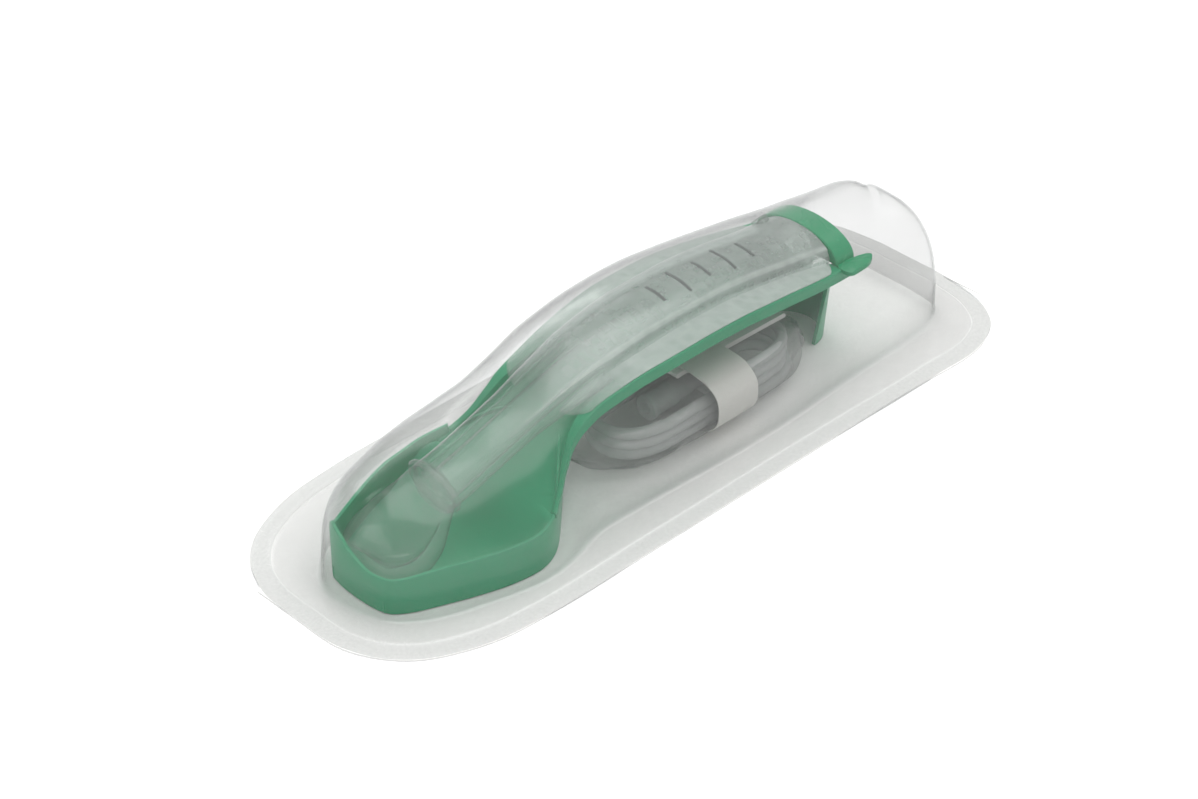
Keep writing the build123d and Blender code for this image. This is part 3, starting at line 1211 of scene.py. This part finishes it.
@dataclass
class Airway:
    """Soft stem and cuff, rigid connector with its oxygen port, and the hook ring."""

    stem_line: tuple = (
        (-92, 25.5), (-80, 28.4), (-70, 31), (-58, 34.2), (-45, 37.4), (-25, 41.2), (0, 43.2), (25, 42.6),
        (45, 40.2), (64, 36.8), (80.7, 34.7),
    )
    stem_half: tuple = (
        (-92, 9.6), (-58, 10.2), (-45, 10.8), (-20, 13.2), (0, 14.2), (64, 14.6), (80.7, 15.6),
    )
    stem_high: tuple = ((-92, 8.4), (-80, 7.8), (-58, 7.4), (-45, 8.7), (-20, 9.8), (64, 10.2), (80.7, 9.6))
    stem_start: float = -92.0
    stem_end: float = 80.7
    housing_start: float = 63.8
    housing_radius: float = 8.7
    wing_start: float = -46.0
    wing_end: float = 80.0
    # Painted reflection of the strips' top: the edges' mark whitens them to this share over this length.
    wing_painted_reflection: float = 0.75
    wing_reflection_fade: float = 28.0
    wing_lift: float = 0.06
    stem_power: float = 2.3
    # Painted highlight on the stem: the mark rises from the start station over the fade length to the given
    # strength.
    painted_highlight_start: float = -50.0
    painted_highlight_fade: float = 24.0
    stem_painted_highlight: float = 0.5
    lumen_radius: float = 5.6
    lumen_offset: float = -1.6
    channel_radius: float = 1.6
    channel_inset: float = 3.4
    rib_turn: float = 1.02
    rib_width: float = 0.07
    rib_start: float = -75.0
    rib_fade: float = 30.0
    rib_swell: float = 0.035
    cup_x: float = -109.5
    cup_half_length: float = 11.5
    cup_depth: float = 1.45
    collar_x: float = -91.5
    collar_z: float = 25.9
    collar_wide: float = 9.9
    collar_high: float = 8.7
    collar_radius: float = 1.3
    collar_lean: float = 0.3
    cuff_rings: tuple = (
        (-123.4, 11.6, 5, 2), (-121.5, 11.8, 10.4, 4), (-117, 12.2, 15, 6), (-110, 13.6, 17.4, 7.4),
        (-103, 16.6, 16.2, 8.6), (-97, 20.8, 13, 9), (-91.4, 26, 9.8, 8.4),
    )
    ring_start: float = 81.0
    ring_end: float = 90.0
    ring_half: float = 18.8
    ring_high: float = 9.4
    ring_wall: float = 1.4
    ring_lift: float = 1.1
    ring_corner: float = 0.35
    web: tuple = (0.2, 1.8)
    lug_height: float = 1.8
    mark_places: tuple = ((6.0, 4.5), (17.0, 6.0), (28.0, 4.5), (39.0, 6.0), (50.0, 4.5))
    mark_half_width: float = 0.6
    mark_offset: float = -3.0
    connector_z: float = 35.0
    connector_radius: float = 7.5

    def stem(self) -> bpy.types.Object:
        """Bowed oval stem with a rib along each shoulder and a thin edge on each strip. The wide
        lumen, the narrow channel beside it and the connector's seat are hollows.

        Returns:
            The piece.
        """
        x = np.linspace(self.stem_start, self.stem_end, 170)
        y = centre_y(x)
        z, wide, high = (through(line, x) for line in (self.stem_line, self.stem_half, self.stem_high))
        body = oval_rings(x, y, z, wide, high, self.stem_power, 72)
        angle = np.arange(72) * 2 * math.pi / 72
        rib = np.exp(-(((np.abs(angle - math.pi / 2) - self.rib_turn) / self.rib_width) ** 2))
        swell = 1 + self.rib_swell * rib * np.clip((x[:, None] - self.rib_start) / self.rib_fade, 0, 1)
        middle = np.stack([x, y, z], 1)[:, None]
        body = middle + (body - middle) * swell[..., None]
        # Painted highlight: the mark whitens the stem from the start station on, and along each rib in a
        # painted streak.
        painted_highlight = np.clip((x - self.painted_highlight_start) / self.painted_highlight_fade, 0, 1) * self.stem_painted_highlight
        skin = Skin("airway_stem_gel")
        skin.add(body, mark=np.clip(painted_highlight[:, None] + 0.8 * (swell - 1) / self.rib_swell, 0, 1))
        level = np.ones_like(x)
        lumen = x < self.housing_start - 1.5
        bores = [
            (self.lumen_offset, self.lumen_radius, 36),
            (wide - self.channel_inset, self.channel_radius, 16),
        ]
        for across, radius, sides in bores:
            bore = oval_rings(x, y + across, z, radius * level, radius * level, sides=sides)
            skin.add(bore[lumen][2:], cavity=True)
        housing = np.linspace(self.housing_start, self.stem_end - 0.4, 12)
        level = np.ones_like(housing)
        middle = (centre_y(64) * level, self.connector_z * level)
        radius = self.housing_radius * level
        skin.add(oval_rings(housing, *middle, radius, radius, sides=48), cavity=True)
        for side in (-1, 1):
            grid, mark = self.wing(side)
            skin.add(grid, mark=mark)
        return skin.build()

    def wing(self, side: int) -> tuple[Grid, Grid]:
        """Thin edge of the stem that lies on one strip of the cradle: loops across X, from inside
        the body out to the strip's edge.

        Args:
            side: 1 for the back, -1 for the front.

        Returns:
            The grid, and how far the painted reflection whitens each point.
        """
        x = np.linspace(self.wing_start, self.wing_end, 90)
        edge = through(Cradle.edge, x) - 0.7
        inner = through(self.stem_half, x) * 0.93
        end = np.clip(np.minimum(x - self.wing_start, self.wing_end - x) / 5, 0.02, 1) ** 0.5
        outer = inner + (edge - inner) * end
        base = through(Cradle.level, x) + self.wing_lift
        across = [inner, outer - 0.3, outer, outer, outer - 0.3, (inner + outer) / 2, inner + 1.2, inner]
        height = [0, 0, 0.12, 0.4, 0.55, 0.6, 0.75, 1.3]
        y = centre_y(x)[:, None] + side * np.stack(across, 1)
        z = base[:, None] + np.array(height)
        # Painted reflection: the edges whiten as they run towards the connector end.
        painted_reflection = self.wing_painted_reflection * np.clip((x[:, None] - self.wing_start) / self.wing_reflection_fade, 0, 1)
        grid = np.stack([np.broadcast_to(x[:, None], y.shape), y, z], 2)
        return grid, np.broadcast_to(painted_reflection, y.shape)

    def cuff(self) -> bpy.types.Object:
        """Soft bowl: ovals that swell and climb towards the stem, with the upper half pressed down
        into a cup inside a rounded lip.

        Returns:
            The piece.
        """
        rings = np.array(self.cuff_rings)
        x = np.linspace(rings[0, 0], rings[-1, 0], 64)
        z, wide, high = (through(list(zip(rings[:, 0], rings[:, column])), x) for column in (1, 2, 3))
        y = centre_y(x)
        body = oval_rings(x, y, z, wide, high, 2.1, 72)
        angle = np.arange(72) * 2 * math.pi / 72
        along = np.clip(1 - ((x - self.cup_x) / self.cup_half_length) ** 2, 0, 1) ** 0.6
        across = np.clip(1 - (np.cos(angle) / 0.8) ** 2, 0, 1) ** 0.6 * (np.sin(angle) > 0)
        press = self.cup_depth * high[:, None] * along[:, None] * across
        body[..., 2] -= press
        skin = Skin("airway_cuff_gel")
        skin.add(body)
        return skin.build()

    def collar(self) -> Grid:
        """Soft collar where the cuff meets the stem, tilted with the stem's climb.

        Returns:
            Grid of loops by points.
        """
        turn = np.linspace(0, 2 * math.pi, 25)[:-1]
        ring = np.arange(72) * 2 * math.pi / 72
        radius = self.collar_radius * np.cos(turn)[:, None]
        wide, high = self.collar_wide + radius, self.collar_high + radius
        y = centre_y(-91.0) + wide * np.cos(ring)
        z = self.collar_z + high * np.sin(ring)
        lean = self.collar_lean * (z - self.collar_z)
        x = self.collar_x + self.collar_radius * np.sin(turn)[:, None] - lean
        return np.stack([x, y, z], 2)

    def ring(self) -> bpy.types.Object:
        """Arched ring round the connector with a web inside it and a flat lug at its front foot.

        Returns:
            The piece.
        """
        start, end, wall, corner = self.ring_start, self.ring_end, self.ring_wall, self.ring_corner
        base = through(Cradle.level, (start + end) / 2) + self.ring_lift
        middle = centre_y((start + end) / 2)
        angle = np.linspace(0, math.pi, 61)
        loop = [
            (start, corner), (start + corner, 0), ((start + end) / 2, 0), (end - corner, 0), (end, corner),
            (end, wall - corner), (end - corner, wall), ((start + end) / 2, wall), (start + corner, wall),
            (start, wall - corner),
        ]
        rows = []
        for x, inset in loop:
            y = middle + (self.ring_half - inset) * np.cos(angle)
            z = base + (self.ring_high - inset) * np.sin(angle)
            rows.append(np.stack([np.full_like(y, x), y, z], 1))
        skin = Skin("green_hook_ring")
        skin.add(np.stack(rows, 1), Ends.PINCH)
        web = []
        near, far = start + self.web[0], start + self.web[1]
        for x, inner in ((near, False), (near, True), (far, True), (far, False)):
            wide = self.connector_radius + 0.1 if inner else self.ring_half - wall + 0.3
            high = wide if inner else self.ring_high - wall + 0.3
            level = min(self.connector_z, base) if inner else base
            y, z = middle + wide * np.cos(angle), level + high * np.sin(angle)
            web.append(np.stack([np.full_like(angle, x), y, z], 1))
        skin.add(np.stack(web, 1), Ends.PINCH)
        skin.add(self.lug(base))
        return skin.build()

    def lug(self, base: float) -> Grid:
        """Flat lug that the head strap hooks on: a rounded plan shape in four levels.

        Args:
            base: Height of the ring's foot.

        Returns:
            Grid of levels by points.
        """
        corners = [
            (80.8, -17.2), (80.6, -25.2), (86, -25.2), (91.6, -24.9), (96.8, -21.4), (92, -19.4), (88, -18.6),
            (88, -17.2),
        ]
        plan = rounded_outline(np.array(corners), 64, 2)
        inner = plan.mean(0) + (plan - plan.mean(0)) * 0.93
        top = self.lug_height
        levels = [(inner, -0.2), (plan, 0.1), (plan, top - 0.3), (inner, top)]
        return np.stack([np.concatenate([line, np.full((64, 1), base - 1.6 + z)], 1) for line, z in levels])

    def marks(self) -> bpy.types.Object:
        """Plain printed bars on top of the stem, as generic depth marks.

        Returns:
            The piece.
        """
        skin = Skin("depth_marks")
        for x, reach in self.mark_places:
            share = np.linspace(-1, 1, 15)
            rows = []
            for way, lift in ((-1, -0.05), (-1, 0.12), (1, 0.12), (1, -0.05)):
                place = np.full_like(share, x + way * self.mark_half_width)
                half, high = through(self.stem_half, place), through(self.stem_high, place)
                y = share * reach + self.mark_offset
                bulge = (1 - np.abs(y / half) ** self.stem_power) ** (1 / self.stem_power)
                z = through(self.stem_line, place) + high * bulge + lift
                rows.append(np.stack([place, y + centre_y(place), z], 1))
            skin.add(np.stack(rows, 1), Ends.PINCH)
        return skin.build()

    def build(self) -> None:
        """Make the airway's pieces and dress them."""
        gel = GEL_TPE.material()
        rigid = RIGID_PC.material()
        dress(self.stem(), gel, Body.AIRWAY, Slot.GEL, "airway_stem")
        dress(self.cuff(), gel, Body.AIRWAY, Slot.GEL, "airway_cuff")
        collar = Skin("airway_collar")
        collar.add(self.collar(), Ends.LOOP)
        dress(collar.build(), gel, Body.AIRWAY, Slot.GEL)
        dress(self.ring(), GREEN_PP.material(), Body.AIRWAY, Slot.RING, "hook_ring")
        dress(self.marks(), MARK_INK.material(), Body.AIRWAY, Slot.GEL)
        for node in ("airway_connector", "oxygen_port", "oxygen_port_cap"):
            finish_node(node, rigid)


# ---------------------------------------------------------------- the suction set


@dataclass
class SuctionSet:
    """Bagged suction tube with its funnel, a paper band, the folded head strap and the sachet."""

    set_y: float = -8.0
    bag_z: float = 11.4
    bag_power: float = 2.7
    tube: float = 4.0
    turns: float = 3.1
    turn_points: int = 16
    coil_x: float = 19.0
    coil_half_length: float = 42.5
    coil_half_width: float = 13.6
    rise_per_turn: float = 4.12
    coil_start: float = 0.14
    bag_sections: tuple = (
        (-37, 3, 2), (-32, 10, 6), (-20, 17.5, 9.2), (-4, 20.4, 10), (14, 20.4, 9.8), (33, 20.2, 9.6),
        (50, 18.8, 9.2), (63, 13, 7.6), (70.5, 4, 2.5),
    )
    funnel_start: float = -1.0
    paper: float = 0.3
    band_x: float = 10.5
    band_width: float = 19.0
    band_z: float = 12.7
    band_half_width: float = 21.3
    band_half_height: float = 11.6
    band_turns: float = 1.07
    band_start: float = 1.9
    strap_x: float = 34.0
    strap_half_length: float = 26.0
    strap_half_width: float = 5.0
    strap_z: float = 22.15
    strap_step: float = 0.62
    strap_thick: float = 0.45
    sachet_middle: tuple = (26.0, 26.2, 14.5)
    sachet_half_length: float = 33.0
    sachet_half_height: float = 13.4

    def bag(self) -> bpy.types.Object:
        """Pillow of film, gathered at both ends, with creases that run in from the gathers: the
        radius carries a few waves round the bag and along it.

        Returns:
            The piece.
        """
        sections = np.array(self.bag_sections)
        start, stop = sections[0, 0], sections[-1, 0]
        x = np.linspace(start, stop, 150)
        wide, high = (through(list(zip(sections[:, 0], sections[:, column])), x) for column in (1, 2))
        y, z = np.full_like(x, self.set_y), np.full_like(x, self.bag_z)
        rings = oval_rings(x, y, z, wide, high, self.bag_power, 96)
        angle = np.arange(96) * 2 * math.pi / 96
        end = np.clip(np.minimum(x - start, stop - x) / 30, 0, 1)[:, None]
        gather = 0.05 * (1 - end) * np.sin(9 * angle + 1.3 * np.sin(x[:, None] / 7))
        crease = 0.018 * end * np.sin(5 * angle + x[:, None] / 5.5 + 1.5 * np.sin(x[:, None] / 11))
        middle = np.stack([x, y, z], 1)[:, None]
        rings = middle + (rings - middle) * (0.985 + gather + crease)[..., None]
        skin = Skin("tube_bag")
        skin.add(rings)
        return skin.build()

    def racetrack(self, share: Grid) -> Grid:
        """Plan points of the coil's turn: two straights and two half-circles, against the clock,
        from the middle of the right end. Share counts turns.

        Args:
            share: Turns travelled.

        Returns:
            (count, 2) array of plan points.
        """
        radius = self.coil_half_width
        straight = self.coil_half_length - radius
        quarter = math.pi / 2 * radius
        lengths = np.array([0, quarter, 2 * straight, math.pi * radius, 2 * straight, quarter])
        stops = np.cumsum(lengths)
        place = (share % 1.0) * stops[-1]
        part = np.clip(np.searchsorted(stops, place, side="right") - 1, 0, 4)
        run = place - stops[part]
        angle = np.select([part == 0, part == 2, part == 4], [run, run + quarter, run - quarter]) / radius
        along, out = radius * np.cos(angle), radius * np.sin(angle)
        parts = [part == index for index in range(4)]
        right, left = straight + along, along - straight
        x = np.select(parts, [right, straight - run, left, run - straight], right)
        y = np.select(parts, [out, radius, out, -radius], out)
        return np.stack([self.coil_x + x, self.set_y + y], 1)

    def coil(self) -> bpy.types.Object:
        """Suction tube: out of the funnel's neck, down and round, then up in even turns.

        Returns:
            The piece.
        """
        lead = [
            (33.0, -8.0, 0.0), (37.5, -7.8, -0.1), (42.5, -5.6, -0.8), (48.4, -2.4, -2.0),
            (55.2, -3.4, -3.4), (59.8, -8.6, -4.4), (60.0, -15.2, -4.8), (55.6, -20.4, -5.6),
            (48.2, -22.0, -6.2), (41.0, -21.6, -6.2),
        ]
        first = self.coil_start
        share = np.arange(first + 1 / self.turn_points, first + self.turns, 1 / self.turn_points)
        flat = self.racetrack(-share)
        rise = lead[-1][2] + self.rise_per_turn * (share - first)
        wander = 0.35 * np.sin(share * 7.0)
        turns = [(x, y + w, z) for (x, y), z, w in zip(flat, rise, wander)]
        points = [(x * MM, y * MM, (self.bag_z + z) * MM) for x, y, z in lead + turns]
        curve = bpy.data.curves.new("suction_tube", "CURVE")
        curve.dimensions = "3D"
        spline = curve.splines.new("NURBS")
        spline.points.add(len(points) - 1)
        for control, point in zip(spline.points, points):
            control.co = (*point, 1.0)
        spline.order_u = 3
        spline.use_endpoint_u = True
        spline.resolution_u = 5
        curve.bevel_depth = self.tube / 2 * MM
        curve.bevel_resolution = 4
        curve.use_fill_caps = True
        piece = bpy.data.objects.new("suction_tube", curve)
        bpy.context.scene.collection.objects.link(piece)
        return piece

    def funnel(self) -> bpy.types.Object:
        """Stepped suction connector turned on a lathe, open through its length.

        Returns:
            The piece.
        """
        profile = [
            (0, 2.2), (0, 4.3), (0.3, 4.6), (1.5, 4.6), (1.8, 4.3), (9.5, 3.9), (10, 4.2), (12, 4.2),
            (12.5, 3.7), (20, 3.4), (20.4, 2.9), (33.6, 2.8), (34, 2.5), (34, 2.1), (20, 2.1), (4, 2.2),
        ]
        skin = Skin("suction_funnel_body")
        skin.add(lathe(profile, (self.funnel_start, self.set_y, self.bag_z)), Ends.LOOP)
        return skin.build()

    def fuller(self, wave: Grid) -> Grid:
        """Sine or cosine that gives an oval as full as the bag's."""
        return np.sign(wave) * np.abs(wave) ** (2 / self.bag_power)

    def band(self) -> bpy.types.Object:
        """Paper band: an oval wrap, a little skewed, whose end laps over on top and stands free.

        Returns:
            The piece.
        """
        turn = np.linspace(0, 2 * math.pi * self.band_turns, 130)
        angle = turn + self.band_start
        lift = 0.5 * np.clip((turn - 2 * math.pi * 0.93) / 0.8, 0, 1) ** 2
        skew = 1.6 * np.sin(turn + 0.6)
        loop = []
        across = [self.band_x + self.band_width * share for share in (0, 0.5, 1)]
        for x, inset in [(x, 0.0) for x in across] + [(x, self.paper) for x in across[::-1]]:
            y = self.set_y + (self.band_half_width - inset + lift * 0.4) * self.fuller(np.cos(angle))
            z = self.band_z + (self.band_half_height - inset + lift) * self.fuller(np.sin(angle))
            loop.append(np.stack([x + skew, y, z], 1))
        skin = Skin("paper_wrap_band")
        skin.add(np.stack(loop, 1), Ends.PINCH)
        return skin.build()

    def strap(self) -> bpy.types.Object:
        """Head strap folded in three along X: the ribbon's side view is two hairpin folds.

        Returns:
            The piece.
        """
        bend = np.linspace(-math.pi / 2, math.pi / 2, 9)
        run = np.linspace(-1, 1, 24)
        half, step = self.strap_half_length, self.strap_step
        parts = []
        for layer, way in enumerate((1, -1, 1)):
            level = self.strap_z + layer * step
            parts.append(np.stack([self.strap_x + way * half * run, np.full(24, level)], 1))
            fold_x = self.strap_x + way * (half + step / 2 * np.cos(bend))
            parts.append(np.stack([fold_x, level + step / 2 * (1 + np.sin(bend))], 1)[1:-1])
        line = np.concatenate(parts[:-1])
        along = np.gradient(line, axis=0)
        along /= np.linalg.norm(along, axis=1, keepdims=True)
        face = np.stack([-along[:, 1], along[:, 0]], 1) * self.strap_thick / 2
        middle = self.set_y - 1 + 0.5 * np.sin(line[:, 0] / 16)
        loop = []
        for side, share in ((1, -1), (1, 0), (1, 1), (-1, 1), (-1, 0), (-1, -1)):
            at = line + side * face
            loop.append(np.stack([at[:, 0], middle + share * self.strap_half_width, at[:, 1]], 1))
        skin = Skin("head_strap")
        skin.add(np.stack(loop, 1), Ends.PINCH)
        return skin.build()

    def sachet(self) -> bpy.types.Object:
        """Foil sachet on its long edge: two faces that swell between flat sealed margins.

        Returns:
            The piece.
        """
        u = np.linspace(-1, 1, 61)
        v = np.linspace(-1, 1, 33)
        across, up = np.meshgrid(u, v, indexing="ij")
        swell = np.clip(1 - np.abs(across / 0.8) ** 4, 0, 1) * np.clip(1 - np.abs(up / 0.72) ** 3, 0, 1)
        thick = 0.28 + 1.0 * swell**0.5 + 0.08 * np.sin(9 * across + 4 * up) * swell
        middle_x, middle_y, middle_z = self.sachet_middle
        x, z = middle_x + self.sachet_half_length * across, middle_z + self.sachet_half_height * up
        upper = np.stack([x, middle_y + thick, z], 2)
        lower = np.stack([x, middle_y - thick, z], 2)
        skin = Skin("gel_sachet")
        skin.add(np.concatenate([upper, lower[:, ::-1]], 1), Ends.PINCH)
        return skin.build()

    def build(self) -> None:
        dress(self.bag(), PE_FILM.material(), Body.SUCTION_SET, Slot.FILM, "tube_pouch")
        funnel = self.funnel()
        dress(funnel, PVC_TUBE.material(), Body.SUCTION_SET, Slot.TUBE, "suction_funnel")
        tube = self.coil()
        dress(tube, PVC_TUBE.material(), Body.SUCTION_SET, Slot.TUBE, "suction_tube_coil")
        dress(self.band(), KRAFT_BAND.material(), Body.SUCTION_SET, Slot.BAND, "paper_band")
        strap = self.strap()
        dress(strap, ELASTIC_TAPE.material(), Body.SUCTION_SET, Slot.STRAP, "folded_strap")
        dress(self.sachet(), SACHET_FOIL.material(), Body.SUCTION_SET, Slot.FOIL, "lubricant_sachet")


# ---------------------------------------------------------------- the studio


@dataclass
class Studio:
    """White floor, soft lights and the camera. Lengths are metres."""

    azimuth_deg: float = -44.563
    elevation_deg: float = 36.058
    distance: float = 0.9655
    aim: tuple = (0.0024, 0.0176, 0.0)
    lens_mm: float = 85.0
    sensor_mm: float = 36.0
    clip: tuple = (0.05, 20.0)
    lamp_aim: tuple = (0.0, 0.0, 0.02)
    floor_reach: float = 6.0
    floor_z: float = -0.0002
    floor_white: float = 0.96
    sky: float = 0.78

    def camera(self) -> None:
        """Camera at the given angle round its aim."""
        azimuth, elevation = math.radians(self.azimuth_deg), math.radians(self.elevation_deg)
        back = Vector((
            math.sin(azimuth) * math.cos(elevation),
            -math.cos(azimuth) * math.cos(elevation),
            math.sin(elevation),
        ))
        data = bpy.data.cameras.new("camera")
        data.lens, data.sensor_width = self.lens_mm, self.sensor_mm
        data.clip_start, data.clip_end = self.clip
        camera = bpy.data.objects.new("camera", data)
        camera.location = Vector(self.aim) + back * self.distance
        camera.rotation_euler = (-back).to_track_quat("-Z", "Y").to_euler()
        bpy.context.scene.collection.objects.link(camera)
        bpy.context.scene.camera = camera

    def lamp(self, name: str, place: tuple, size: tuple, power: float) -> None:
        """Rectangular soft light that faces the pack.

        Args:
            name: Its name.
            place: Where it stands.
            size: Width and height.
            power: Watts.
        """
        data = bpy.data.lights.new(name, "AREA")
        data.shape, data.size, data.size_y, data.energy = "RECTANGLE", *size, power
        lamp = bpy.data.objects.new(name, data)
        lamp.location = place
        lamp.rotation_euler = (Vector(self.lamp_aim) - Vector(place)).to_track_quat("-Z", "Y").to_euler()
        bpy.context.scene.collection.objects.link(lamp)

    def build(self) -> None:
        """Make the floor, the sky, the lamps and the camera."""
        self.camera()
        mesh = bpy.data.meshes.new("studio_floor")
        reach = self.floor_reach
        corners = [(x * reach, y * reach, self.floor_z) for x, y in ((-1, -1), (1, -1), (1, 1), (-1, 1))]
        mesh.from_pydata(corners, [], [(0, 1, 2, 3)])
        floor = bpy.data.objects.new("studio_floor", mesh)
        bpy.context.scene.collection.objects.link(floor)
        material, tree = new_tree("studio_white")
        paint = add_node(tree, "ShaderNodeBsdfDiffuse", Color=(*[self.floor_white] * 3, 1.0))
        add_node(tree, "ShaderNodeOutputMaterial", Surface=paint.outputs["BSDF"])
        mesh.materials.append(material)
        world = bpy.data.worlds.new("studio_sky")
        world.use_nodes = True
        sky = world.node_tree.nodes["Background"]
        sky.inputs["Color"].default_value = (1.0, 1.0, 1.0, 1.0)
        sky.inputs["Strength"].default_value = self.sky
        bpy.context.scene.world = world
        self.lamp("overhead", (0.15, -0.15, 1.3), (1.6, 1.4), 13.0)
        self.lamp("left_fill", (-1.2, 0.4, 0.9), (0.9, 1.0), 1.5)
        self.lamp("back_strip", (0.4, 1.3, 0.9), (1.2, 0.3), 3.0)
        scene = bpy.context.scene
        scene.view_settings.view_transform = "Standard"
        scene.cycles.transparent_max_bounces = 40


def main() -> None:
    """Build the studio and every sub-assembly in order."""
    logging.basicConfig(level=logging.INFO, format="%(name)s: %(message)s")
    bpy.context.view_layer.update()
    Studio().build()
    SuctionSet().build()
    Cradle().build()
    Airway().build()
    Blister().build()
    finish_node("backing_lid", SPUN_LID.material())


if __name__ == "__main__":
    main()
